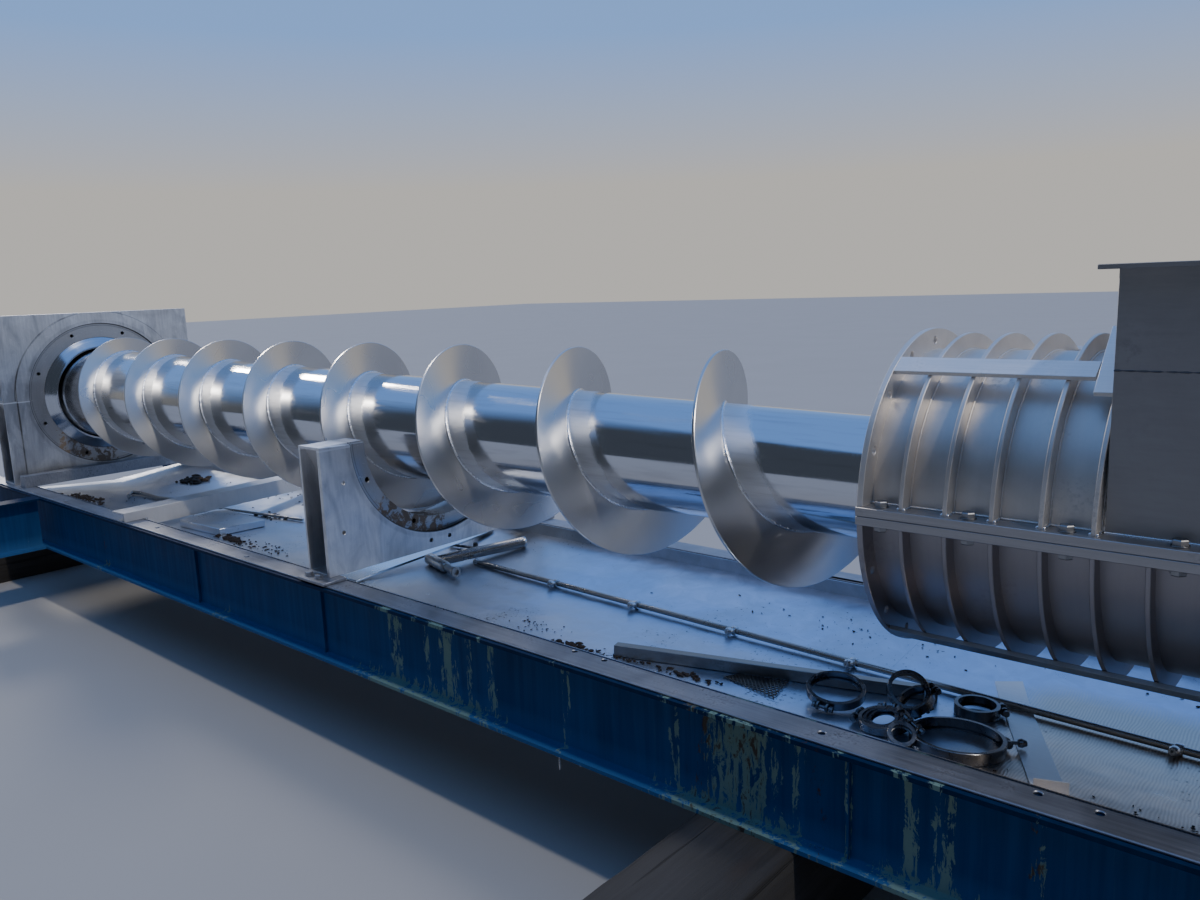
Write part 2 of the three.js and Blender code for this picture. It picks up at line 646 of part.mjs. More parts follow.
// Loose flat plate, bent along the valley, with its near end turned up
const PLATE_CORNERS = [[133, 127], [188, 159], [431, -362], [374, -386]];
const PLATE_END = [[431, -362], [374, -386], [372.8, -383.2], [429.8, -359.2]];
const LOOSE_THICK = 2.2;
const TURNED_UP = 29;
const vee = (lift) => [-400, TRAY_VALLEY_Y, 200].map((y) => [y, trayHeight(y) + GAP + lift]);
const slab = outlineAlongX([...vee(0), ...vee(LOOSE_THICK).reverse()], 0, 600);
const endSlab = outlineAlongX([...vee(0), ...vee(TURNED_UP).reverse()], 0, 600);
const plateFlat = outlineUp(PLATE_CORNERS, -600, -400).intersect(slab);
const plateEnd = outlineUp(PLATE_END, -600, -400).intersect(endSlab);
add("flat_plate", plateFlat.add(plateEnd), DULL);

// Loose tee-shaped pipe: a head, a stub with a collar at its end, and a run with a collar at its end
const TEE = {
  head: [[-1874, -14, -490.9], [-1718, -59, -487.7]],
  stub: [[-1722, -57.8, -487.8], [-1640, -81.5, -486.1]],
  stubCollar: [[-1652, -78, -486.3], [-1640, -81.5, -486.1]],
  run: [[-1821, -29, -489.9], [-1688, 306, -471.2]],
  runCollar: [[-1691.7, 296.7, -471.7], [-1688, 306, -471.2]],
};
const TEE_RADIUS = { head: 21, stub: 14, stubCollar: 18, run: 20.5, runCollar: 20.9 };
add("tee_pipe", joined(Object.keys(TEE).map((part) => bar(...TEE[part], TEE_RADIUS[part], 18))), DULL);

// Loose bar lying across the tray under the saddle
const CROSSING_CORNERS = [[-1840, -358], [-1940, 375], [-2015, 368], [-1925, -367]];
const CROSSING_TOP = -478;
const CROSSING_THICK = 8;
add("crossing_bar", outlineUp(CROSSING_CORNERS, CROSSING_TOP - CROSSING_THICK, CROSSING_TOP), DULL);

// Loose panel in the discharge tray
const PANEL_CORNERS = [[-3201, -328], [-2892, -305], [-2942, -68], [-3329, -60]];
const PANEL_THICK = 30;
const panelShape = new THREE.Shape(PANEL_CORNERS.map(([x, y]) => new THREE.Vector2(x, y - TRAY_VALLEY_Y)));
const panelGeometry = new THREE.ExtrudeGeometry(panelShape, { depth: PANEL_THICK, bevelEnabled: false });
onNearSlope(panelGeometry);
add("loose_panel", solid(panelGeometry), SHEET);

// Loose clamp ring with its bolt lug
const CLAMP_AT = [190, -278];
const CLAMP_R = 97;
const CLAMP_HEIGHT = 26;
const CLAMP_WALL = 6;
const LUG_TURN = 0.61;
const LUG_LENGTH = 46;
const LUG_SIDE = 12;
const clampInside = CLAMP_R - CLAMP_WALL;
const band = [
  [clampInside, 0],
  [CLAMP_R, 0],
  [CLAMP_R, CLAMP_HEIGHT],
  [clampInside, CLAMP_HEIGHT],
  [clampInside, 0],
];
const clampBand = spun(band, 48, (geometry) => {
  geometry.rotateX(Math.PI / 2);
  geometry.translate(CLAMP_AT[0], CLAMP_AT[1] - TRAY_VALLEY_Y, 0);
  onNearSlope(geometry);
});
const lugR = CLAMP_R - 3 + LUG_LENGTH / 2;
const lugAt = [CLAMP_AT[0] + lugR * Math.cos(LUG_TURN), CLAMP_AT[1] + lugR * Math.sin(LUG_TURN)];
add("clamp_ring", clampBand.add(lyingBox(...lugAt, LUG_TURN, LUG_LENGTH, LUG_SIDE, LUG_SIDE, 8)), DARK);

// Timbers under the beams
const TIMBER_REACH = 1180;
const TIMBER_WIDTH = 254;
const TIMBERS = { discharge: -5030, middle: -175, inlet: 1300 };
for (const [place, x] of Object.entries(TIMBERS)) {
  const sides = [x - TIMBER_WIDTH / 2, x + TIMBER_WIDTH / 2];
  add(`timber_${place}`, box(...sides, -TIMBER_REACH, TIMBER_REACH, GROUND, GROUND + TIMBER_HEIGHT), WOOD);
}

export default machine;
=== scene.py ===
import random
from math import acos, asin, atan, cos, degrees, hypot, pi, radians, sin, sqrt

import bmesh
import bpy
from mathutils import Matrix, Vector, noise


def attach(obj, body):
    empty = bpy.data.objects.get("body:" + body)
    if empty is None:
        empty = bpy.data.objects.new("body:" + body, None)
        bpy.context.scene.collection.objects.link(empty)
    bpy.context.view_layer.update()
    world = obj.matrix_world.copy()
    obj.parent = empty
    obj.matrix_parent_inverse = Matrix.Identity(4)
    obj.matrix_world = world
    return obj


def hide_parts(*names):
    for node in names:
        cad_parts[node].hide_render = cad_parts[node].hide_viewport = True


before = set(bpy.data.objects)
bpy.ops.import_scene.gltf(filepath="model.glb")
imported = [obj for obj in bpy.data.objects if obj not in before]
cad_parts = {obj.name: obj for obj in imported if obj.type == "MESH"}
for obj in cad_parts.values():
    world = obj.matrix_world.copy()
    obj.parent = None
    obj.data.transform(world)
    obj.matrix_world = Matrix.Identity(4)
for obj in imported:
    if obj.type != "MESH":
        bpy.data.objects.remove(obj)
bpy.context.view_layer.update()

# Metres: the drum's left end on the screw's axis, from which all millimetres below are measured
SHIFT = 1.8
AXIS = 0.9976

# Metres: points that count as one, a border that no seat plate reaches, and the floor round the machine
SAME_POINT = 1e-5
NO_BORDER = 5.0
FLOOR_REACH = 60

UP = Vector((0, 0, 1))
SIDES = ((-1, "near"), (1, "far"))

# Screw, in millimetres like all sizes below
FLIGHT_R = 305
FLIGHT_THICK = 9
PITCH = 538
FLIGHT_TOP_X = -571
FLIGHT_START = -4560
FLIGHT_END = 1085
SHAFT_R = 152.5
SHAFT_TAPER = 0.0191
CONE_END = -170
SHAFT_LEFT = -4770
SHAFT_RIGHT = 1135
STUB_R = 70
STUB_LEFT = -4985
STUB_RIGHT = 1470

# Skid, strips and trays
BEAM_TOP = -443.3
BEAM_BOTTOM = -697.3
BEAM_Y = 493
FLANGE = 98
FLANGE_THICK = 10
WEB = 8
ROOT = 9
FRAME_LEFT = -5170
FRAME_RIGHT = 1570
STIFFENERS_X = (-2705, -1830, 56, 1250)
OUTRIGGER_X = -4258
OUTRIGGER_END = 840
TIMBER_LOW = -997.6
TIMBER_HIGH = -697.6
TIMBER_HALF = 127
TIMBER_REACH = 1180
STRIP_TOP = -437
STRIP_IN = 452
STRIP_OUT = 530
STRIP_HOLES = (
    (-3980, 500), (-3050, 489), (-2310, 497), (-726, 463), (-626, 463),
    (-11, 490), (406, 469), (508, 472), (1090, 480),
)
TRAY_FLOOR = -516
TRAY_FALL = 35
TRAY_HALF = 440.6
TRAY_UNDER = 443.6
TRAY_EDGE = -439
VALLEY_Y = 40

# Bulkheads and saddle
BULKHEAD_FACE = -4655
BULKHEAD_THICK = 150
BULKHEAD_HALF = 503
BULKHEAD_TOP = 441
BULKHEAD_FOOT = -436.7
BULKHEAD_BORE = 306
HALF_GAP = 0.2
PAD_THICK = 10
ARCH_R = 447
ARCH_LEG = 440
SEAT_R = 381
GUSSET_Y = 262
SADDLE_FACE = -1790
SADDLE_THICK = 120
SADDLE_HALF = 490
SADDLE_TOP = 6
SADDLE_BORE = 313
SADDLE_SEAT_R = 370
SADDLE_PLATE = 6
HOUSING_R = 335
BOLT = 16
BOLT_HOLE_R = 9
HOLE_TURNS = (22.5, 67.5, 112.5, 157.5)

# Inlet drum and hopper
SHELL_IN = 311.5
SHELL_OUT = 317.5
RIB_R = 355
RIBS = [90 + 89 * i for i in range(12)]
END_FLANGE_R = 365
DRUM_LENGTH = 1158
INLET_FACE = DRUM_LENGTH + 0.3
JOINT_THICK = 19
WELD_Z = 20.5
HOPPER_LEFT = 457
HOPPER_RIGHT = 1058
HOPPER_HALF = 324
HOPPER_WALL = 5
HOPPER_FOOT = 20
HOPPER_NOTCH_R = 318.5
HOPPER_WALL_TOP = 486
HOPPER_TOP = 494
HOPPER_LIP = 28

# Wash pipe
WASH_LEFT_X = -1720
WASH_RIGHT_X = 1430
NOZZLES_X = (-1299, -938, -567, -191, 549, 1000)


def at(x, y, z):
    return Vector((x / 1000 + SHIFT, y / 1000, z / 1000 + AXIS))


def evenly(start, end, steps):
    """Numbers from start to end in even steps."""
    return [start + (end - start) * i / steps for i in range(steps + 1)]


# Sky of the studio: neutral low down, blue overhead, shaded on the camera's side
SKY_LOW = (0.55, 0.53, 0.50)
SKY_MIDDLE = (0.24, 0.43, 0.85)
SKY_HIGH = (0.17, 0.36, 0.85)
SHADE_COLOR = (0.050, 0.062, 0.084)
SHADE_SIDE = (0.15, -0.989, 0.0)


def placed(name, data):
    """Adds an object to the scene."""
    made = bpy.data.objects.new(name, data)
    bpy.context.collection.objects.link(made)
    return made


# Camera at the photograph's place
CAMERA_AT = (2.66285, -2.14781, 1.48804)
YAW, PITCH_DOWN, ROLL = (radians(a) for a in (48.753, 9.907, 2.104))
forward = cos(PITCH_DOWN)
ahead = Vector((-cos(YAW) * forward, sin(YAW) * forward, -sin(PITCH_DOWN)))
level = ahead.cross(UP).normalized()
below = ahead.cross(level)
across = level * cos(ROLL) + below * sin(ROLL)
down = below * cos(ROLL) - level * sin(ROLL)
lens = bpy.data.cameras.new("camera")
lens.sensor_width = 36
lens.lens = 28.405
lens.clip_end = 200
camera = placed("camera", lens)
turn = Matrix((across, -down, -ahead)).transposed().to_4x4()
camera.matrix_world = Matrix.Translation(CAMERA_AT) @ turn
bpy.context.scene.camera = camera


# Materials
def wired(tree, kind, inputs, **settings):
    """Adds a shader node. An input is a value or another node's output."""
    made = tree.nodes.new("ShaderNode" + kind)
    for key, value in settings.items():
        setattr(made, key, value)
    for key, value in inputs.items():
        plug(tree, made.inputs[key], value)
    return made


def plug(tree, socket, value):
    if isinstance(value, bpy.types.NodeSocket):
        tree.links.new(value, socket)
    elif isinstance(value, tuple) and len(value) == 3 and socket.type == "RGBA":
        socket.default_value = (*value, 1)
    else:
        socket.default_value = value


class Paint:
    """A small helper that wires up one procedural material."""

    def __init__(self, name):
        self.material = bpy.data.materials.new(name)
        self.material.use_nodes = True
        self.tree = self.material.node_tree
        self.shader = self.tree.nodes["Principled BSDF"]
        self.place = self.node("TexCoord", {}).outputs["Object"]

    def node(self, kind, inputs, **settings):
        return wired(self.tree, kind, inputs, **settings)

    def scaled(self, scale):
        return self.node("VectorMath", {0: self.place, 1: scale}, operation="MULTIPLY").outputs[0]

    def noise(self, scale, detail=4.0, rough=0.55, warp=0.0, vector=None):
        """Cloudy noise. The scale is one number, or one for each axis."""
        if isinstance(scale, tuple):
            vector, scale = self.scaled(scale), 1.0
        inputs = {"Vector": vector or self.place, "Scale": scale}
        inputs.update({"Detail": detail, "Roughness": rough, "Distortion": warp})
        return self.node("TexNoise", inputs).outputs["Fac"]

    def math(self, kind, a, b=0.0):
        return self.node("Math", {0: a, 1: b}, operation=kind).outputs[0]

    def times(self, a, b):
        return self.math("MULTIPLY", a, b)

    def plus(self, a, b):
        return self.math("ADD", a, b)

    def minus(self, a, b):
        return self.math("SUBTRACT", a, b)

    def most(self, a, b):
        return self.math("MAXIMUM", a, b)

    def size(self, a):
        return self.math("ABSOLUTE", a)

    def span(self, value, low, high, out_low=0.0, out_high=1.0):
        inputs = {0: value, 1: low, 2: high, 3: out_low, 4: out_high}
        return self.node("MapRange", inputs, clamp=True).outputs[0]

    def mix(self, share, a, b):
        return self.node("Mix", {0: share, 6: a, 7: b}, data_type="RGBA").outputs[2]

    def cover(self, color, mask, share, other):
        """Another colour over this one, where the mask is and as strong as the share."""
        return self.mix(self.times(mask, share), color, other)

    def blend(self, share, a, b):
        return self.node("Mix", {0: share, 2: a, 3: b}, data_type="FLOAT").outputs[0]

    def bump(self, height, strength, distance, under=None):
        inputs = {"Height": height, "Strength": strength, "Distance": distance}
        if under is not None:
            inputs["Normal"] = under
        return self.node("Bump", inputs).outputs[0]

    def parts(self):
        made = self.node("SeparateXYZ", {0: self.place})
        return made.outputs[0], made.outputs[1], made.outputs[2]

    def radius(self, y, z):
        """The distance from the screw's axis."""
        z = self.minus(z, AXIS)
        return self.math("SQRT", self.plus(self.times(y, y), self.times(z, z)))

    def ridge(self, value, middle, half):
        """A thin band round one value, fading out to both sides."""
        return self.span(self.size(self.minus(value, middle)), half * 0.4, half, 1.0, 0.0)

    def finish(self, color, rough, metal, normal=None, anisotropy=0.0):
        inputs = {"Base Color": color, "Roughness": rough, "Metallic": metal}
        if normal is not None:
            inputs["Normal"] = normal
        if anisotropy:
            inputs["Anisotropic"] = anisotropy
            inputs["Tangent"] = self.node("Tangent", {}, direction_type="RADIAL", axis="X").outputs[0]
        for key, value in inputs.items():
            plug(self.tree, self.shader.inputs[key], value)
        return self.material


def metal(name, dark, light, rough, brush, brush_share=0.5, blotch=4.0, spread=0.08, dirt=0.25,
          dirt_color=(0.05, 0.04, 0.03), bump=0.06, metallic=1.0):
    """Brushed metal: fine lines along one way, cloudy patches and a little dirt."""
    p = Paint(name)
    lines = p.noise(brush, 5, 0.65)
    clouds = p.noise(blotch, 6, 0.6, 0.4)
    fine = p.noise(blotch * 22, 3)
    share = p.plus(p.times(lines, brush_share), p.times(clouds, 1 - brush_share))
    color = p.mix(p.span(share, 0.3, 0.7), dark, light)
    spots = p.times(p.span(clouds, 0.56, 0.72), p.span(fine, 0.45, 0.65))
    color = p.cover(color, spots, dirt, dirt_color)
    sheen = p.span(lines, 0.25, 0.75, rough - spread, rough + spread)
    roughness = p.plus(p.plus(sheen, p.span(clouds, 0.3, 0.7, -0.05, 0.08)), p.times(spots, 0.3 * dirt))
    normal = p.bump(lines, bump, 0.0006, p.bump(clouds, 0.15, 0.002))
    return p.finish(color, roughness, metallic, normal)


def seat_metal(name, seat, pulp_reach, border_r, dark, light, grime):
    """Brushed plate with a cloudy sheen. Inside its seat line it is turned, darker and smeared with pulp."""
    p = Paint(name)
    _, y, z = p.parts()
    r = p.radius(y, z)
    streaks = p.noise((30, 120, 7), 5, 0.65, 0.4)
    clouds = p.noise(4.5, 6, 0.62, 0.7)
    smudge = p.noise((3, 14, 5), 4, warp=0.8)
    outward = p.node("CombineXYZ", {0: p.times(r, 520.0), 1: 0.0, 2: 0.0}).outputs[0]
    grooves = p.noise(1.0, 3, vector=outward)
    flakes = p.noise(34, 6, 0.7, 0.6)
    share = p.plus(p.times(streaks, 0.3), p.times(clouds, 0.7))
    color = p.mix(p.span(share, 0.35, 0.65), dark, light)
    color = p.cover(color, p.span(smudge, 0.48, 0.68), grime, (0.36, 0.365, 0.38))
    inside = p.span(r, seat - 0.001, seat + 0.001, 1.0, 0.0)
    turned = p.mix(p.span(grooves, 0.3, 0.7), (0.30, 0.30, 0.305), (0.52, 0.515, 0.51))
    color = p.cover(color, inside, 0.85, turned)
    # Painted shade with dirt: dark lines along the seat edge, the pad's arch border and the legs, where the
    # corners lie
    line = p.most(p.ridge(r, seat, 0.0035), p.times(p.ridge(r, seat - 0.011, 0.0018), 0.6))
    above = p.span(z, AXIS - 0.001, AXIS + 0.001)
    under = p.span(z, AXIS - 0.001, AXIS + 0.001, 1.0, 0.0)
    arch = p.times(p.ridge(r, border_r, 0.004), above)
    leg = p.times(p.ridge(p.size(y), border_r - 0.007, 0.004), under)
    border = p.most(p.most(arch, leg), p.times(p.ridge(r, seat + 0.012, 0.012), 0.35))
    line = p.most(line, p.times(border, p.span(smudge, 0.3, 0.6, 0.2, 0.8)))
    color = p.cover(color, line, 0.8, (0.06, 0.055, 0.05))
    scuffs = p.noise((60, 60, 240), 3, warp=1.4)
    color = p.cover(color, p.span(scuffs, 0.66, 0.70), 0.5, (0.92, 0.92, 0.92))
    # Painted highlight: a near-white line along the split just below the axis, outside the seat
    seam_highlight = p.times(p.ridge(z, AXIS - 0.006, 0.004), p.span(r, seat, seat + 0.004))
    color = p.cover(color, seam_highlight, 0.9, (0.97, 0.98, 1.0))
    low = p.times(p.span(z, AXIS - 0.16, AXIS - 0.25), p.span(y, 0.06, -0.02))
    reached = p.times(p.times(low, inside), pulp_reach)
    caked = p.span(p.plus(flakes, p.times(reached, 0.17)), 0.62, 0.68)
    caked = p.times(caked, p.span(reached, 0.05, 0.3))
    color = p.mix(caked, color, p.mix(clouds, (0.10, 0.065, 0.04), (0.34, 0.28, 0.22)))
    rough = p.plus(p.span(clouds, 0.3, 0.7, 0.36, 0.48), p.times(caked, 0.4))
    normal = p.bump(streaks, 0.05, 0.0006, p.bump(flakes, p.times(caked, 0.5), 0.003))
    return p.finish(color, rough, p.span(caked, 0.0, 1.0, 0.93, 0.0), normal)


def shaft_metal(name):
    """Turned mirror polish that smears reflections along the shaft, with hand-ground satin at each weld."""
    p = Paint(name)
    x, y, z = p.parts()
    angle = p.math("ARCTAN2", p.times(y, -1.0), p.minus(z, AXIS))
    along = p.minus(x, SHIFT + FLIGHT_TOP_X / 1000)
    turns = p.minus(p.math("DIVIDE", along, PITCH / 1000), p.math("DIVIDE", angle, 2 * pi))
    around = p.noise((420, 4, 4), 4, 0.7)
    length = p.noise((5, 70, 70), 3, 0.6)
    clouds = p.noise(9, 5, 0.6, 0.8)
    edge = p.plus(p.math("FRACT", turns), p.times(p.minus(clouds, 0.5), 0.12))
    satin = p.most(p.span(edge, 0.15, 0.19, 1.0, 0.0), p.span(edge, 0.91, 0.95))
    polished = p.plus(p.span(around, 0.3, 0.7, 0.05, 0.13), p.span(length, 0.45, 0.75, 0.0, 0.10))
    rough = p.blend(satin, polished, p.span(clouds, 0.3, 0.7, 0.34, 0.44))
    color = p.mix(satin, (0.70, 0.71, 0.73), (0.84, 0.85, 0.87))
    color = p.cover(color, p.span(length, 0.5, 0.7), 0.4, (0.52, 0.52, 0.53))
    p.shader.inputs["Anisotropic Rotation"].default_value = 0.25
    return p.finish(color, rough, 1.0, p.bump(around, 0.035, 0.0004, p.bump(length, 0.03, 0.0008)), 0.55)


def flight_metal(name):
    """Smooth satin discs, brushed round the axis."""
    p = Paint(name)
    _, y, z = p.parts()
    foot = p.span(p.radius(y, z), 0.16, 0.23, 1.0, 0.0)
    clouds = p.noise(4, 2, 0.5)
    color = p.mix(p.span(clouds, 0.3, 0.7), (0.62, 0.60, 0.575), (0.69, 0.67, 0.645))
    rough = p.plus(p.span(clouds, 0.3, 0.7, 0.26, 0.31), p.times(foot, 0.04))
    return p.finish(color, rough, 1.0, anisotropy=0.35)


def sheet_metal(name):
    """Mill-finish sheet, not quite flat, with black specks of dried pulp and water marks, tinted blue as a
    painted sky reflection and, on the right, beige with bright bands as painted sunlight.
    """
    p = Paint(name)
    x, y, _ = p.parts()
    sweep = p.noise(2.2, 3, 0.5, 0.3)
    marks = p.noise(14, 6, 0.65, 0.8)
    grain = p.noise((4, 260, 40), 3)
    specks = p.noise(95, 3, 0.6)
    zones = p.noise(3.1, 3, 0.55, 0.5)
    gathered = p.span(y, -0.44, 0.1, 0.10, 0.0)
    dirt = p.times(p.span(p.plus(specks, gathered), 0.66, 0.70), p.span(zones, 0.50, 0.62))
    # Painted sky reflection: the sheet's colour is tinted blue
    color = p.mix(p.span(marks, 0.35, 0.7), (0.52, 0.60, 0.74), (0.64, 0.73, 0.90))
    color = p.cover(color, p.span(zones, 0.55, 0.75), 0.45, (0.45, 0.44, 0.42))
    left = p.span(p.plus(x, p.times(zones, 0.5)), 0.45, 0.75, 1.0, 0.0)
    color = p.cover(color, left, 0.55, (0.62, 0.60, 0.57))
    # Painted sunlight and painted reflected light: on the right near part the sheet is tinted beige with
    # bright wavy bands, and the same waves also bump the sheet
    right = p.span(p.plus(x, p.times(zones, 0.3)), 2.10, 2.22)
    right = p.times(right, p.span(y, 0.12, 0.20, 1.0, 0.0))
    waves = {"Vector": p.place, "Scale": 48.0, "Distortion": 12.0, "Detail": 2.0, "Detail Scale": 0.2}
    ripple = p.node("TexWave", waves, bands_direction="X").outputs["Fac"]
    ripple = p.times(ripple, p.times(right, p.span(marks, 0.3, 0.6, 0.3, 1.0)))
    color = p.cover(color, right, 0.85, (0.64, 0.50, 0.36))
    color = p.cover(color, ripple, 0.7, (0.90, 0.78, 0.64))
    color = p.mix(dirt, color, (0.035, 0.03, 0.028))
    rough = p.plus(p.span(marks, 0.3, 0.7, 0.27, 0.38), p.times(dirt, 0.5))
    normal = p.bump(ripple, 0.25, 0.0012, p.bump(sweep, 0.5, 0.03, p.bump(grain, 0.05, 0.0004)))
    return p.finish(color, rough, p.span(dirt, 0.0, 1.0, 0.92, 0.0), normal)


# Bare patches on the beams: middle and half width along the skid, and how strong
WEB_PATCHES = [
    (-1443, 30, 0.9), (-1296, 12, 0.7), (-1196, 38, 1.0), (-1109, 10, 0.7), (-1013, 12, 0.8),
    (-733, 16, 0.5), (-382, 14, 0.8), (-210, 98, 1.0), (-60, 14, 0.8), (52, 8, 0.9),
    (183, 17, 1.0), (247, 19, 0.9), (417, 16, 0.4), (800, 40, 0.7), (1120, 25, 0.8),
]
EDGE_PATCHES = [
    (-1300, 290, 1.0), (-228, 182, 1.0), (228, 108, 1.0), (-3592, 40, 0.5), (-2500, 60, 0.4),
    (900, 120, 0.8),
]
RUST_PATCHES = [
    (-242, 95, 1.0), (-15, 16, 0.8), (417, 14, 1.0), (-3592, 20, 0.7), (-4400, 60, 0.5),
    (980, 60, 0.8),
]


def patches(p, x, places):
    """How far a place is inside any of the patches along the skid."""
    total = None
    for middle, reach, strength in places:
        away = p.size(p.minus(x, middle / 1000 + SHIFT))
        near = p.span(away, reach * 0.0005, reach * 0.0014, strength, 0.0)
        total = near if total is None else p.most(total, near)
    return total


def blue_paint(name):
    """Old navy paint with runs and scuffs, greenish primer showing in streaks, and rust, with painted light
    on the bottom flange and painted shade on the top flange.
    """
    p = Paint(name)
    x, _, z = p.parts()
    runs = p.noise((42, 42, 1.6), 5, 0.6)
    thin = p.noise((150, 150, 5), 4, 0.6)
    broad = p.noise((3.2, 3.2, 0.7), 3)
    clouds = p.noise(7, 6, 0.6, 0.5)
    flakes = p.noise((46, 46, 15), 7, 0.72, 0.7)
    color = p.mix(p.span(runs, 0.3, 0.75), (0.009, 0.044, 0.135), (0.016, 0.078, 0.215))
    color = p.cover(color, p.span(clouds, 0.45, 0.8), 0.30, (0.016, 0.075, 0.19))
    color = p.cover(color, p.span(broad, 0.55, 0.7), 0.45, (0.004, 0.018, 0.055))
    color = p.cover(color, p.span(thin, 0.60, 0.75), 0.25, (0.05, 0.12, 0.22))
    drift = p.plus(x, p.times(p.minus(runs, 0.5), 0.05))
    low = p.span(p.minus(z, p.times(flakes, 0.06)), 0.280, 0.310, 1.0, 0.0)
    # Painted sky light: the bottom flange and the foot of the web are a lighter blue
    color = p.mix(p.span(z, 0.305, 0.37, 0.65, 0.0), color, (0.045, 0.15, 0.34))
    # Painted shade: the top flange under the strips is darkened almost to black
    color = p.mix(p.span(z, 0.5435, 0.5440, 0.0, 0.75), color, (0.002, 0.010, 0.030))
    edge = p.times(patches(p, drift, EDGE_PATCHES), low)
    bare = p.most(patches(p, drift, WEB_PATCHES), p.times(edge, 1.4))
    ragged = p.plus(p.times(flakes, 0.85), p.times(thin, 0.35))
    peeled = p.plus(ragged, p.times(bare, 0.17))
    primer = p.times(p.span(peeled, 0.725, 0.755), p.span(bare, 0.05, 0.25))
    primer = p.most(primer, p.times(p.span(ragged, 0.80, 0.82), 0.7))
    rusty = p.plus(patches(p, drift, RUST_PATCHES), p.times(low, 0.12))
    rust = p.times(p.span(rusty, 0.1, 0.6), p.span(flakes, 0.56, 0.61))
    color = p.cover(color, primer, 0.85, p.mix(clouds, (0.115, 0.225, 0.205), (0.26, 0.37, 0.29)))
    color = p.cover(color, rust, 0.85, p.mix(thin, (0.035, 0.016, 0.011), (0.10, 0.05, 0.028)))
    rough = p.plus(p.span(clouds, 0.3, 0.7, 0.50, 0.62), p.times(primer, 0.2))
    skin = p.minus(runs, p.times(primer, 0.8))
    p.shader.inputs["Specular IOR Level"].default_value = 0.08
    return p.finish(color, rough, 0.0, p.bump(skin, 0.18, 0.0015, p.bump(clouds, 0.1, 0.002)))


def timber(name):
    """Weathered sawn timber, its colours kept very dark as painted shade under the beams: grain along the
    length, checks and knots.
    """
    p = Paint(name)
    bend = p.noise(2.0, 3)
    grain = p.noise((38, 1.6, 38), 7, 0.7, 0.6)
    wide = p.noise((9, 0.6, 9), 3, warp=1.5)
    cells = {"Vector": p.scaled((6.5, 2.3, 6.5)), "Scale": 1.0, "Randomness": 1.0}
    knot = p.span(p.node("TexVoronoi", cells).outputs["Distance"], 0.05, 0.17, 1.0, 0.0)
    checks = p.span(p.noise((55, 1.1, 55), 3), 0.63, 0.69)
    # Painted shade: every colour here is kept very dark for the shade under the beams
    color = p.mix(p.span(grain, 0.3, 0.7), (0.015, 0.013, 0.012), (0.050, 0.045, 0.040))
    color = p.cover(color, p.span(wide, 0.4, 0.7), 0.5, (0.062, 0.058, 0.055))
    color = p.cover(color, knot, 0.6, (0.035, 0.024, 0.018))
    color = p.cover(color, checks, 0.8, (0.012, 0.010, 0.008))
    height = p.minus(p.plus(grain, p.times(bend, 0.5)), checks)
    return p.finish(color, p.span(grain, 0.2, 0.8, 0.72, 0.92), 0.0, p.bump(height, 0.7, 0.004))


def pulp(name, share):
    """Dried brown pulp, or black dirt when its brown share is small."""
    p = Paint(name)
    lumps = p.noise(60, 6, 0.7, 0.8)
    tint = p.noise(16, 3)
    color = p.mix(p.times(tint, share), (0.022, 0.015, 0.012), (0.13, 0.088, 0.058))
    color = p.mix(p.span(lumps, 0.5, 0.75), color, (0.02, 0.012, 0.009))
    return p.finish(color, 0.85, 0.0, p.bump(lumps, 0.8, 0.006))
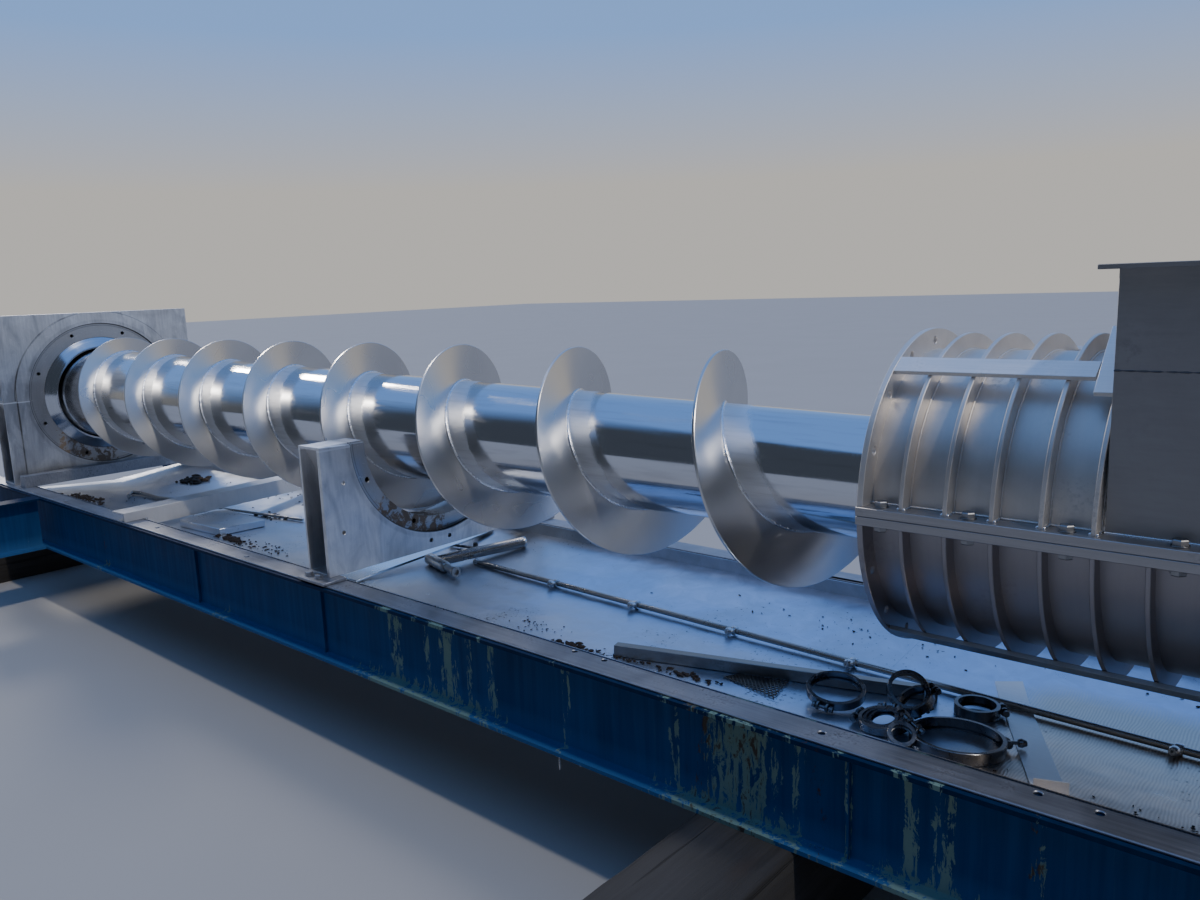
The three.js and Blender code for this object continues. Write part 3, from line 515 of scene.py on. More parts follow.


# Each look has a slot name and its material
LOOKS = {
    "polished": ("polished_stainless", shaft_metal("polished_shaft")),
    "flight": ("brushed_stainless", flight_metal("satin_flight")),
    "cone": ("polished_stainless", metal(
        "polished_ring", (0.55, 0.57, 0.60), (0.70, 0.72, 0.75), 0.14, (300, 4, 4), spread=0.06, dirt=0.35)),
    "drum": ("brushed_stainless", metal(
        "satin_drum", (0.64, 0.59, 0.535), (0.84, 0.785, 0.715), 0.44, (60, 6, 6), 0.2, 5.0, 0.03, 0.5,
        bump=0.02, metallic=0.80)),
    # Painted shade: a darker copy of the drum's metal for its lower half
    "drum_low": ("brushed_stainless", metal(
        "shaded_drum", (0.33, 0.31, 0.315), (0.43, 0.405, 0.41), 0.46, (90, 6, 6), 0.25, 4.0, 0.03, 0.3,
        bump=0.03, metallic=0.9)),
    # Painted shade: darker metal for the drum's joint bars and lower bars, where the upper bars get bright
    # satin
    "joint": ("brushed_stainless", metal(
        "dark_joint", (0.34, 0.33, 0.33), (0.52, 0.50, 0.49), 0.42, (5, 200, 200), 0.6, 6.0, 0.05, 0.4)),
    "flatbar": ("brushed_stainless", metal(
        "satin_bar", (0.78, 0.76, 0.73), (0.95, 0.93, 0.90), 0.42, (5, 240, 240), blotch=6.0, metallic=0.6)),
    "saddle": ("brushed_stainless", seat_metal(
        "saddle_plate", SADDLE_SEAT_R / 1000, 1.0, NO_BORDER, (0.66, 0.66, 0.67), (0.92, 0.91, 0.90), 0.45)),
    "bulkhead": ("brushed_stainless", seat_metal(
        "bulkhead_plate", SEAT_R / 1000, 0.9, ARCH_R / 1000, (0.50, 0.50, 0.51), (0.84, 0.84, 0.84), 0.7)),
    "strip": ("dull_stainless", metal(
        "worn_strip", (0.19, 0.20, 0.225), (0.44, 0.45, 0.485), 0.44, (4, 170, 60), blotch=8.0, dirt=0.8,
        metallic=0.8)),
    "hopper": ("dark_stainless", metal(
        "dark_hopper", (0.23, 0.225, 0.22), (0.40, 0.385, 0.37), 0.50, (9, 9, 60), 0.3, 2.6, 0.06, 0.35,
        (0.06, 0.06, 0.06), metallic=0.8)),
    "housing": ("dark_steel", metal(
        "dark_housing", (0.12, 0.12, 0.13), (0.20, 0.20, 0.21), 0.48, (90, 8, 8), blotch=7.0)),
    "clamp": ("dark_steel", metal(
        "clamp_steel", (0.11, 0.11, 0.115), (0.25, 0.25, 0.255), 0.28, (60, 60, 60), blotch=14.0, dirt=0.5)),
    "nozzle": ("dull_stainless", metal(
        "nozzle_steel", (0.60, 0.60, 0.60), (0.85, 0.85, 0.85), 0.26, (60, 60, 60), blotch=26.0, dirt=0.5)),
    "pipe": ("dull_stainless", metal(
        "pipe_steel", (0.46, 0.44, 0.42), (0.62, 0.60, 0.57), 0.27, (5, 60, 60), 0.3, 5.0, 0.02, 0.15,
        bump=0.01)),
    "bolt": ("dull_stainless", metal(
        "bolt_steel", (0.22, 0.22, 0.22), (0.38, 0.38, 0.38), 0.34, (80, 80, 80), blotch=30.0, dirt=0.4)),
    "weld": ("dull_stainless", metal(
        "weld_bead", (0.74, 0.74, 0.75), (0.92, 0.92, 0.92), 0.26, (120, 120, 120), blotch=20.0, dirt=0.15,
        bump=0.10)),
    # Painted sky reflection: the crossing bar's metal is tinted bluish white
    "bright": ("dull_stainless", metal(
        "bright_strip", (0.84, 0.90, 0.96), (0.92, 0.96, 1.0), 0.16, (5, 220, 60), blotch=8.0, spread=0.03,
        dirt=0.1, bump=0.02)),
    "sheet": ("tray_sheet", sheet_metal("tray_sheet")),
    "blue": ("blue_paint", blue_paint("blue_paint")),
    "timber": ("timber", timber("old_timber")),
    "pulp": ("dull_stainless", pulp("dried_pulp", 1.0)),
    "dirt": ("dull_stainless", pulp("black_dirt", 0.10)),
    "gusset": ("dull_stainless", metal(
        "dull_gusset", (0.56, 0.54, 0.52), (0.76, 0.74, 0.72), 0.45, (30, 30, 8), 0.3, 5.0, 0.05, 0.4,
        metallic=0.45)),
    "darkbar": ("dark_steel", metal(
        "dark_bar", (0.23, 0.22, 0.205), (0.42, 0.40, 0.37), 0.38, (5, 90, 90), blotch=9.0, dirt=0.4)),
    "mesh": ("dull_stainless", metal(
        "mesh_steel", (0.10, 0.085, 0.07), (0.26, 0.22, 0.18), 0.40, (60, 60, 60), blotch=20.0, dirt=0.6)),
}


# Shapes. Most pieces are built in this one bmesh, which piece() empties again
shape = bmesh.new()


def piece(name, shape, look, stands_for=None, body="frame", sharp=38):
    """Makes one object of a finished bmesh, soft except at its sharp edges."""
    bmesh.ops.remove_doubles(shape, verts=shape.verts, dist=SAME_POINT)
    bmesh.ops.recalc_face_normals(shape, faces=shape.faces)
    for face in shape.faces:
        face.smooth = True
    for edge in shape.edges:
        edge.smooth = edge.calc_face_angle(0) < radians(sharp)
    mesh = bpy.data.meshes.new(name)
    shape.to_mesh(mesh)
    shape.clear()
    made = placed(name, mesh)
    slot, material = LOOKS[look]
    mesh.materials.append(material)
    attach(made, body)
    if stands_for:
        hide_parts(stands_for)


def absorb(shape, other):
    """Adds all of another bmesh to this one."""
    mesh = bpy.data.meshes.new("part")
    other.to_mesh(mesh)
    other.free()
    shape.from_mesh(mesh)
    bpy.data.meshes.remove(mesh)


def chamfered(shape, size):
    """Cuts the sharp edges of a bmesh."""
    edges = [e for e in shape.edges if e.calc_face_angle(0) > radians(40)]
    bmesh.ops.bevel(shape, geom=edges, offset=size / 1000, segments=1, affect="EDGES", clamp_overlap=True)


def copied(node, look, edge):
    """A copy of a CAD node with its flat faces joined up and its edges cut, which stands for it."""
    shape.from_mesh(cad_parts[node].data)
    bmesh.ops.remove_doubles(shape, verts=shape.verts, dist=SAME_POINT)
    bmesh.ops.dissolve_limit(shape, angle_limit=radians(1), verts=shape.verts, edges=shape.edges)
    if edge:
        chamfered(shape, edge)
    piece(node + "_dressed", shape, look, node)


def add_box(shape, x0, x1, y0, y1, z0, z1, edge):
    """A block with cut edges. The two limits across and in height come in either order."""
    y0, y1 = sorted((y0, y1))
    z0, z1 = sorted((z0, z1))
    block = bmesh.new()
    size = Matrix.Diagonal(((x1 - x0) / 1000, (y1 - y0) / 1000, (z1 - z0) / 1000, 1))
    middle = at((x0 + x1) / 2, (y0 + y1) / 2, (z0 + z1) / 2)
    bmesh.ops.create_cube(block, size=1, matrix=Matrix.Translation(middle) @ size)
    chamfered(block, edge)
    absorb(shape, block)


def add_sweep(shape, rows, closed=False):
    """Joins rows of points, each a closed loop, into a skin, with end caps or round to its start."""
    made = [[shape.verts.new(p) for p in row] for row in rows]
    pairs = list(zip(made, made[1:]))
    if closed:
        pairs.append((made[-1], made[0]))
    for a, b in pairs:
        for i in range(len(a)):
            j = (i + 1) % len(a)
            shape.faces.new((a[i], b[i], b[j], a[j]))
    if not closed:
        shape.faces.new(made[0])
        shape.faces.new(made[-1][::-1])


def add_turned(shape, profile, steps, start=0.0, end=360.0):
    """Turns [x, radius] points about the screw's axis. 0 degrees is the near side, 90 the top."""
    whole = end - start >= 360
    turns = [radians(a) for a in evenly(start, end, steps)]
    rows = [[at(x, -r * cos(a), r * sin(a)) for x, r in profile] for a in turns]
    add_sweep(shape, rows[:-1] if whole else rows, closed=whole)


def ring_profile(x0, x1, r0, r1, cut):
    return [(x0, r0), (x1, r0), (x1, r1 - cut), (x1 - cut, r1), (x0 + cut, r1), (x0, r1 - cut)]


def turns_of(steps):
    """Angles evenly spaced all the way round."""
    return [2 * pi * k / steps for k in range(steps)]


def sides_of(way):
    """Two unit vectors square to a direction and to each other."""
    side = way.orthogonal().normalized()
    return side, way.normalized().cross(side)


def ring(middle, side, other, radius, steps):
    """Points of a circle round the middle. The radius is in metres."""
    return [middle + (side * cos(a) + other * sin(a)) * radius for a in turns_of(steps)]


def add_tube(shape, points, radius, sides, ripple=0.0):
    """A round skin along a path of points. ripple makes a weld bead's scales."""
    rows = []
    side = None
    for i, point in enumerate(points):
        way = (points[min(i + 1, len(points) - 1)] - points[max(i - 1, 0)]).normalized()
        if side is None:
            side = way.orthogonal().normalized()
        side = (side - way * side.dot(way)).normalized()
        scale = 1 + ripple * sin(i * 2.1) + ripple * 1.4 * noise.noise(point * 55)
        rows.append(ring(point, side, way.cross(side), radius / 1000 * scale, sides))
    add_sweep(shape, rows)


def add_rod(shape, start, end, radius, sides, cut=0.8):
    """A straight round bar with cut ends."""
    way = (end - start).normalized()
    ease = way * (cut / 1000)
    tip = radius / 1000 - cut / 1000
    side, other = sides_of(way)
    stations = ((start, tip), (start + ease, radius / 1000), (end - ease, radius / 1000), (end, tip))
    add_sweep(shape, [ring(point, side, other, r, sides) for point, r in stations])


def add_spun(shape, start, end, profile, steps):
    """Turns a closed loop of [share of the way, radius] points about the line from start to end."""
    way = end - start
    side, other = sides_of(way)
    rows = []
    for a in turns_of(steps):
        out = side * cos(a) + other * sin(a)
        rows.append([start + way * share + out * (r / 1000) for share, r in profile])
    add_sweep(shape, rows, closed=True)


def add_bolt(shape, point, axis):
    """A hexagon head on a washer, standing on point and facing along a unit vector."""
    base = point + axis * 0.003
    add_rod(shape, point, base, BOLT * 0.95, 20, 0.3)
    side, other = sides_of(axis)
    corner = BOLT * 1.5 / sqrt(3) / 1000
    rows = []
    for height, share in ((0, 1), (BOLT * 0.52, 1), (BOLT * 0.63, 0.86)):
        rows.append(ring(base + axis * height / 1000, side, other, corner * share, 6))
    add_sweep(shape, rows)


def add_plate(shape, outline, holes, low, high, edge=0.8, lying_flat=False):
    """A plate with an outline and holes, in the plane across X or lying flat."""
    curve = bpy.data.curves.new("plate", "CURVE")
    curve.dimensions = "2D"
    curve.fill_mode = "BOTH"
    curve.extrude = (high - low) / 2000 - edge / 1000
    curve.bevel_depth = edge / 1000
    curve.bevel_resolution = 0
    curve.offset = -edge / 1000
    for loop in [outline, *holes]:
        spline = curve.splines.new("POLY")
        spline.points.add(len(loop) - 1)
        for point, (u, v) in zip(spline.points, loop):
            point.co = (u / 1000, v / 1000, 0, 1)
        spline.use_cyclic_u = True
    holder = placed("plate", curve)
    bpy.context.view_layer.update()
    mesh = bpy.data.meshes.new_from_object(holder)
    middle = (low + high) / 2000
    if lying_flat:
        place = Matrix.Translation((SHIFT, 0, middle + AXIS))
    else:
        place = Matrix(((0, 0, 1, middle + SHIFT), (1, 0, 0, 0), (0, 1, 0, AXIS), (0, 0, 0, 1)))
    mesh.transform(place)
    shape.from_mesh(mesh)
    bpy.data.objects.remove(holder)
    bpy.data.meshes.remove(mesh)
    bpy.data.curves.remove(curve)


def arc(radius, start, end, steps):
    """Points round the axis in the cross plane, from one angle to another."""
    turns = [radians(a) for a in evenly(start, end, steps)]
    return [(-radius * cos(a), radius * sin(a)) for a in turns]


def hole(u, v, radius, steps=20):
    return [(u + radius * cos(a), v + radius * sin(a)) for a in turns_of(steps)]


def ring_holes(radius, angles):
    """Bolt holes round the axis."""
    turns = [radians(a) for a in angles]
    return [hole(-radius * cos(a), radius * sin(a), BOLT_HOLE_R) for a in turns]


# Screw
def shaft_radius(x):
    return SHAFT_R + SHAFT_TAPER * max(0, CONE_END - x)


def helix(x, radius, shift):
    """A point that stands on the flight's helix at x, shifted along the axis."""
    a = 2 * pi * (x - FLIGHT_TOP_X) / PITCH
    return at(x + shift, -radius * sin(a), radius * cos(a))


left_r = shaft_radius(SHAFT_LEFT)
add_turned(shape, [
    (STUB_LEFT, 0.5), (STUB_LEFT, STUB_R - 2), (STUB_LEFT + 2, STUB_R), (SHAFT_LEFT, STUB_R),
    (SHAFT_LEFT, left_r - 3), (SHAFT_LEFT + 3, left_r), (CONE_END, SHAFT_R), (SHAFT_RIGHT - 3, SHAFT_R),
    (SHAFT_RIGHT, SHAFT_R - 3), (SHAFT_RIGHT, STUB_R), (STUB_RIGHT - 2, STUB_R), (STUB_RIGHT, STUB_R - 2),
    (STUB_RIGHT, 0.5),
], 180)
piece("screw_shaft_polished", shape, "polished", "screw_shaft", "screw")

# Flight, with its edges eased
flight_x = evenly(FLIGHT_START, FLIGHT_END, int((FLIGHT_END - FLIGHT_START) / PITCH * 150))
half = FLIGHT_THICK / 2
rows = []
for x in flight_x:
    foot = shaft_radius(x) - 1
    wave = 1.2 * noise.noise(Vector((x / 260, 0.3, 0)))
    section = [
        (-half, foot), (half, foot), (half + wave, FLIGHT_R - 60), (half, FLIGHT_R - 1.2),
        (half - 1.2, FLIGHT_R), (-half + 1.2, FLIGHT_R), (-half, FLIGHT_R - 1.2),
        (-half + wave, FLIGHT_R - 60),
    ]
    rows.append([helix(x, r, dx) for dx, r in section])
add_sweep(shape, rows)
piece("screw_flight_satin", shape, "flight", "screw_flight", "screw", 30)

# Weld beads along the foot of the flight, on both sides
for side, label in ((1, "right"), (-1, "left")):
    points = [helix(x, shaft_radius(x) + 1.5, side * (half + 1.5)) for x in flight_x]
    add_tube(shape, points, 5.0, 6, 0.05)
    piece("flight_weld_" + label, shape, "weld", body="screw", sharp=80)

# Discharge cone
profile = [(-90, 248), (20, 248), (22, 250), (22, 257), (20, 259), (-12, 305), (-90, 305)]
add_turned(shape, [(BULKHEAD_FACE + x, r) for x, r in profile], 144)
piece("discharge_cone_polished", shape, "cone", "discharge_cone")


def housing(name, node, back, way):
    """A stepped bearing housing and its bolts, which stands off a bulkhead's back along X."""
    profile = [
        (0.3, STUB_R + 1), (93, STUB_R + 1), (95, STUB_R + 3), (95, 103), (93, 105), (32, 119), (30, 124),
        (30, HOUSING_R - 2), (28, HOUSING_R), (0.3, HOUSING_R),
    ]
    add_turned(shape, [(back + way * x, r) for x, r in profile], 96)
    for y, z in arc(HOUSING_R - 25, 15, 345, 11):
        add_bolt(shape, at(back + way * 30, y, z), Vector((way, 0, 0)))
    piece(name, shape, "housing", node)


pad_back = BULKHEAD_FACE - PAD_THICK
housing("bearing_housing_left", "bearing_housing_discharge", pad_back - BULKHEAD_THICK, -1)
housing("bearing_housing_right", "bearing_housing_inlet", INLET_FACE + BULKHEAD_THICK, 1)


# Bulkheads and saddle
def half_plate(half_width, joint, outer, radius):
    """The outline of a half plate with a round notch, from its joint up or down to its outer edge."""
    end = 180 if outer > joint else -180
    notch = arc(radius, 0, end, 84)
    return [(-half_width, joint), *notch, (half_width, joint), (half_width, outer), (-half_width, outer)]


def add_half_box(shape, gussets, face, depth, half_width, joint, outer, bore, front_holes=(), wall=10):
    """A hollow half bulkhead: two faces, a half sleeve and long plates. Its gussets go in their own bmesh."""
    up = 1 if outer > joint else -1
    back = face - depth
    left, right = back + wall, face - wall
    outline = half_plate(half_width, joint, outer, bore)
    add_plate(shape, outline, front_holes, right, face)
    add_plate(shape, outline, [], back, left)
    sleeve = [(left, bore), (right, bore), (right, bore + 8), (left, bore + 8)]
    add_turned(shape, sleeve, 84, min(0, up * 180), max(0, up * 180))
    joint_in, outer_in = joint + up * wall, outer - up * wall
    add_box(shape, left, right, -half_width, half_width, outer_in, outer, 0.6)
    at_joint = half_width - 14
    for side, _ in SIDES:
        add_box(shape, left, right, side * (bore + 2), side * half_width, joint, joint_in, 0.6)
        outline = [(side * at_joint, joint_in), (side * (at_joint - 10), joint_in)]
        outline += [(side * (GUSSET_Y - 10), outer_in), (side * GUSSET_Y, outer_in)]
        add_plate(gussets, outline, [], left, right, 0.4)


# Saddle with its recessed seat ring, open at the top
gussets = bmesh.new()
foot_top = STRIP_TOP + 10
plate_back = SADDLE_FACE - SADDLE_PLATE
holes = ring_holes(337, [-a for a in HOLE_TURNS])
size = (SADDLE_HALF, SADDLE_TOP, foot_top + 0.3)
add_half_box(shape, gussets, plate_back, SADDLE_THICK - SADDLE_PLATE, *size, SADDLE_BORE, holes, 9)
small_holes = [hole(-409, -122, 7), hole(-422, -288, 7), hole(-63, -396, 8), hole(22, -397, 8)]
add_plate(shape, half_plate(*size, SADDLE_SEAT_R), small_holes, plate_back, SADDLE_FACE)
piece("saddle_plates", shape, "saddle", "saddle")

# Bulkheads, the discharge one with a raised pad in the shape of an arch
leg_end = degrees(acos(ARCH_LEG / ARCH_R))
flat_top = degrees(asin(BULKHEAD_TOP / ARCH_R))
rim = [*arc(ARCH_R, leg_end, flat_top, 40), *arc(ARCH_R, 180 - flat_top, 180 - leg_end, 40)]
seat = arc(SEAT_R, 180, 0, 96)
upper_pad = [(-ARCH_LEG, HALF_GAP), *rim, (ARCH_LEG, HALF_GAP), (SEAT_R, HALF_GAP), *seat]
lower_pad = [(-ARCH_LEG, -HALF_GAP), (-SEAT_R, -HALF_GAP), *arc(SEAT_R, 0, -180, 96), (ARCH_LEG, -HALF_GAP)]
lower_pad += [(ARCH_LEG, BULKHEAD_FOOT), (-ARCH_LEG, BULKHEAD_FOOT)]
for label, up, outer, pad in (
    ("upper", 1, BULKHEAD_TOP, upper_pad), ("lower", -1, BULKHEAD_FOOT, lower_pad),
):
    size = (BULKHEAD_THICK, BULKHEAD_HALF, up * HALF_GAP, outer, BULKHEAD_BORE)
    add_half_box(shape, gussets, pad_back, *size, ring_holes(346, [up * a for a in HOLE_TURNS]))
    add_plate(shape, pad, [], pad_back, BULKHEAD_FACE)
    piece(f"bulkhead_{label}_plates", shape, "bulkhead", f"bulkhead_{label}")
    add_half_box(shape, gussets, INLET_FACE + BULKHEAD_THICK, *size)
    piece(f"inlet_bulkhead_{label}_plates", shape, "bulkhead", f"inlet_bulkhead_{label}")
piece("end_gussets", gussets, "gusset")

for side, label in SIDES:
    add_box(shape, -1905, -1752, side * 540, side * 450, STRIP_TOP + 0.3, foot_top, 1.5)
    for x in (-1880, -1822):
        add_bolt(shape, at(x, side * 510, foot_top), UP)
    piece("saddle_foot_" + label, shape, "strip", "saddle_base_" + label)

# Inlet drum, whose upper half is cut out under the hopper
cut_left, cut_right = HOPPER_LEFT - 3, HOPPER_RIGHT + 3
# The lower half takes the darker drum_low copy, which is painted shade
for label, look, up, start, end in (
    ("upper", "drum", 1, 0.1, 179.9), ("lower", "drum_low", -1, -179.9, -0.1),
):
    shells = [(0, DRUM_LENGTH, start, end, 96)]
    ribs = RIBS
    if label == "upper":
        shells = [
            (0, cut_left, start, end, 96), (cut_left, cut_right, start, 27, 16),
            (cut_left, cut_right, 153, end, 16), (cut_right, DRUM_LENGTH, start, end, 96),
        ]
        ribs = [x for x in RIBS if not HOPPER_LEFT < x < HOPPER_RIGHT]
    for x0, x1, low, high, steps in shells:
        add_turned(shape, ring_profile(x0, x1, SHELL_IN, SHELL_OUT, 0.3), steps, low, high)
    for x in ribs:
        add_turned(shape, ring_profile(x - 4.5, x + 4.5, SHELL_OUT - 2, RIB_R, 1.2), 96, start, end)
    outline = [*arc(END_FLANGE_R, start, end, 96), *arc(SHELL_OUT - 2, end, start, 96)]
    holes = ring_holes(338, [up * a for a in (22.5, 45, 67.5, 90, 112.5, 135, 157.5)])
    add_plate(shape, outline, holes, 0, 13, 1.0)
    add_plate(shape, outline, [], DRUM_LENGTH - 13, DRUM_LENGTH, 1.0)
    piece(f"drum_{label}_ribbed", shape, look, f"drum_{label}")
# The joint bars take the darker joint metal, which is painted shade
for side, _ in SIDES:
    for up in (1, -1):
        add_box(shape, 0, DRUM_LENGTH, side * 314.5, side * 372, up * 0.15, up * JOINT_THICK, 1.2)
piece("drum_joint_bars", shape, "joint")

for node in ("upper_bar_near", "upper_bar_far", "hopper_gusset_near", "hopper_gusset_far"):
    copied(node, "flatbar", 0.8)
# The lower bars take the darker joint metal, which is painted shade
for node in ("lower_bar_near", "lower_bar_far"):
    copied(node, "joint", 0.8)

# Bolts through the drum's joint, above and below
for side, _ in SIDES:
    for x in (45, 223, 400, 578, 757, 935, 1112):
        for up in (1, -1):
            add_bolt(shape, at(x, side * 345, up * JOINT_THICK), UP * up)
piece("joint_bolts", shape, "bolt")

# Weld beads on the drum
shown_ribs = [x for x in RIBS if x < HOPPER_LEFT]
for x in shown_ribs:
    for side, _ in SIDES:
        for dx in (-6, 6):
            add_tube(shape, [at(x + dx, side * y, WELD_Z) for y in range(322, 355, 4)], 3.0, 6, 0.2)
piece("drum_welds", shape, "weld", sharp=80)
for side, _ in SIDES:
    add_tube(shape, [at(x, side * 319, JOINT_THICK + 1) for x in range(2, HOPPER_LEFT, 6)], 3.0, 6, 0.05)
for x in shown_ribs:
    for dx in (-5.5, 5.5):
        add_tube(shape, [at(x + dx, y, z) for y, z in arc(SHELL_OUT + 1, 4, 176, 120)], 2.2, 5, 0.06)
piece("rib_welds", shape, "drum", sharp=80)

# Hopper
inner = HOPPER_HALF - HOPPER_WALL
heights = (JOINT_THICK + 0.4, HOPPER_WALL_TOP)
for side, _ in SIDES:
    add_box(shape, HOPPER_LEFT, HOPPER_RIGHT, side * HOPPER_HALF, side * inner, *heights, 0.8)
spread = degrees(asin(HOPPER_FOOT / HOPPER_NOTCH_R))
foot_y = sqrt(HOPPER_NOTCH_R ** 2 - HOPPER_FOOT ** 2)
notch = arc(HOPPER_NOTCH_R, spread, 180 - spread, 72)[1:-1]
outline = [(-inner, HOPPER_FOOT), (-foot_y, HOPPER_FOOT), *notch, (foot_y, HOPPER_FOOT), (inner, HOPPER_FOOT)]
outline += [(inner, HOPPER_WALL_TOP), (-inner, HOPPER_WALL_TOP)]
for x in (HOPPER_LEFT, HOPPER_RIGHT - HOPPER_WALL):
    add_plate(shape, outline, [], x, x + HOPPER_WALL, 0.4)
rim_left, rim_right, rim_y = HOPPER_LEFT - HOPPER_LIP, HOPPER_RIGHT + HOPPER_LIP, HOPPER_HALF + HOPPER_LIP
for x0, x1, y0, y1 in (
    (rim_left, rim_right, -rim_y, -inner), (rim_left, rim_right, inner, rim_y),
    (rim_left, HOPPER_LEFT + HOPPER_WALL, -inner, inner),
    (HOPPER_RIGHT - HOPPER_WALL, rim_right, -inner, inner),
):
    add_box(shape, x0, x1, y0, y1, HOPPER_WALL_TOP - 1, HOPPER_TOP, 0.9)
piece("hopper_plates", shape, "hopper", "hopper")

# Foot welds and seams of the hopper
for side, _ in SIDES:
    points = [at(x, side * 325.5, WELD_Z) for x in range(HOPPER_LEFT, HOPPER_RIGHT + 1, 6)]
    add_tube(shape, points, 2.6, 6, 0.06)
add_tube(shape, [at(HOPPER_LEFT - 1, y, z) for y, z in arc(SHELL_OUT + 2, 4, 176, 160)], 3.0, 6, 0.18)
piece("hopper_welds", shape, "weld", sharp=80)
for side, _ in SIDES:
    points = [at(x, side * (HOPPER_HALF - 0.4), 311) for x in range(HOPPER_LEFT, HOPPER_RIGHT + 1, 7)]
    add_tube(shape, points, 1.5, 5, 0.4)
piece("hopper_seam", shape, "housing", sharp=80)


# Skid
def add_section(shape, along, start, end, across_at):
    """A rolled I section with rounded roots, along X or Y."""
    flange, web = FLANGE / 2, WEB / 2
    bevel = ROOT * 0.3
    corners = [(flange, 0), (flange, FLANGE_THICK), (web + ROOT, FLANGE_THICK)]
    corners += [(web + bevel, FLANGE_THICK + bevel), (web, FLANGE_THICK + ROOT)]
    side = [(y, BEAM_BOTTOM + z) for y, z in corners] + [(y, BEAM_TOP - z) for y, z in corners[::-1]]
    loop = side + [(-y, z) for y, z in side[::-1]]
    rows = []
    for k in sorted((start, end)):
        rows.append([at(k, across_at + y, z) if along == "x" else at(across_at + y, k, z) for y, z in loop])
    add_sweep(shape, rows)


for side, label in SIDES:
    add_section(shape, "x", FRAME_LEFT, FRAME_RIGHT, side * BEAM_Y)
    for x in STIFFENERS_X:
        depth = side * (BEAM_Y + 15)
        add_box(shape, x - 4, x + 4, side * BEAM_Y, depth, BEAM_BOTTOM + 9, BEAM_TOP - 9, 0.8)
    piece("skid_beam_" + label, shape, "blue", "beam_" + label)
    add_section(shape, "y", side * (BEAM_Y + FLANGE / 2 + 0.3), side * OUTRIGGER_END, OUTRIGGER_X)
    piece("skid_outrigger_" + label, shape, "blue", "outrigger_" + label)
for node in ("cross_member_discharge", "cross_member_outrigger", "cross_member_saddle", "cross_member_inlet"):
    copied(node, "blue", 1.0)
copied("bulkhead_bar", "strip", 1.0)
copied("cross_angle", "gusset", 1.0)

# Strips with a few drilled holes
for side, label in SIDES:
    outline = [(FRAME_LEFT + 10, side * STRIP_IN), (FRAME_RIGHT - 10, side * STRIP_IN)]
    outline += [(FRAME_RIGHT - 10, side * STRIP_OUT), (FRAME_LEFT + 10, side * STRIP_OUT)]
    holes = [hole(x, side * y, 8, 16) for x, y in STRIP_HOLES]
    add_plate(shape, outline, holes, STRIP_TOP - 6, STRIP_TOP, 1.8, lying_flat=True)
    piece("worn_strip_" + label, shape, "strip", "strip_" + label)


# Trays, slightly buckled
def tray_height(y):
    """The trays' floor falls from both sides to a valley."""
    reach = TRAY_HALF + VALLEY_Y if y < VALLEY_Y else TRAY_HALF - VALLEY_Y
    return TRAY_FLOOR + TRAY_FALL * abs(y - VALLEY_Y) / reach


def buckled(x, y):
    """The floor's height with its waves, which fade out at the folds."""
    room = min(1, (TRAY_HALF - abs(y)) / 80)
    return tray_height(y) - room * 0.9 * (1 + noise.noise(Vector((x / 330, y / 210, 2.0))))


def tray(label, node, x0, x1):
    floor_y = [-TRAY_HALF, -360, -260, -160, -60, VALLEY_Y, 140, 240, 340, TRAY_HALF]
    under = [(TRAY_UNDER, TRAY_EDGE), (TRAY_UNDER, -484), (VALLEY_Y, TRAY_FLOOR - 3)]
    under += [(-TRAY_UNDER, -484), (-TRAY_UNDER, TRAY_EDGE)]
    rows = []
    for x in evenly(x0, x1, int((x1 - x0) / 60)):
        top = [(-TRAY_HALF, TRAY_EDGE), *[(y, buckled(x, y)) for y in floor_y], (TRAY_HALF, TRAY_EDGE)]
        rows.append([at(x, y, z) for y, z in top + under])
    add_sweep(shape, rows)
    piece("tray_sheet_" + label, shape, "sheet", node, sharp=25)


tray("left", "tray_discharge", -4790, -1880)
tray("middle", "tray_middle", -1879.7, -110)
tray("right", "tray_inlet", -109.7, 1440)


def worn_timber(label, node, x):
    """A timber whose corners are worn down unevenly."""
    low, high = TIMBER_LOW, TIMBER_HIGH
    corners = [(-TIMBER_HALF, low), (TIMBER_HALF, low), (TIMBER_HALF, high), (-TIMBER_HALF, high)]
    rows = []
    for y in evenly(-TIMBER_REACH, TIMBER_REACH, 60):
        points = []
        for k, (dx, z) in enumerate(corners):
            worn = 7 + 5 * noise.noise(Vector((y / 90, k, x / 100)))
            for next_x, next_z in (corners[k - 1], corners[(k + 1) % 4]):
                length = hypot(next_x - dx, next_z - z)
                points.append((dx + (next_x - dx) * worn / length, z + (next_z - z) * worn / length))
        rows.append([at(x + dx, y, z) for dx, z in points])
    add_sweep(shape, rows)
    piece("old_timber_" + label, shape, "timber", node, sharp=60)


worn_timber("left", "timber_discharge", -5030)
worn_timber("middle", "timber_middle", -175)
worn_timber("right", "timber_inlet", 1300)


# Things that lie in the trays
def settle(shape, clearance=0.3):
    """Moves a loose thing up or down until it just touches the tray."""
    gap = min((v.co.z - AXIS) * 1000 - tray_height(v.co.y * 1000) for v in shape.verts)
    bmesh.ops.translate(shape, verts=shape.verts, vec=(0, 0, (clearance - gap) / 1000))


def lying(x, y, turn=0.0, tilt=0.0):
    """A place on the near slope that takes millimetres, z along the slope's normal."""
    slope = atan(TRAY_FALL / (TRAY_HALF + VALLEY_Y))
    place = Matrix.Translation(at(x, y, tray_height(y))) @ Matrix.Rotation(-slope, 4, "X")
    place = place @ Matrix.Rotation(radians(turn), 4, "Z") @ Matrix.Rotation(radians(tilt), 4, "X")
    return place @ Matrix.Scale(0.001, 4)


def above_tray(x, y, rise):
    return at(x, y, tray_height(y) + rise)


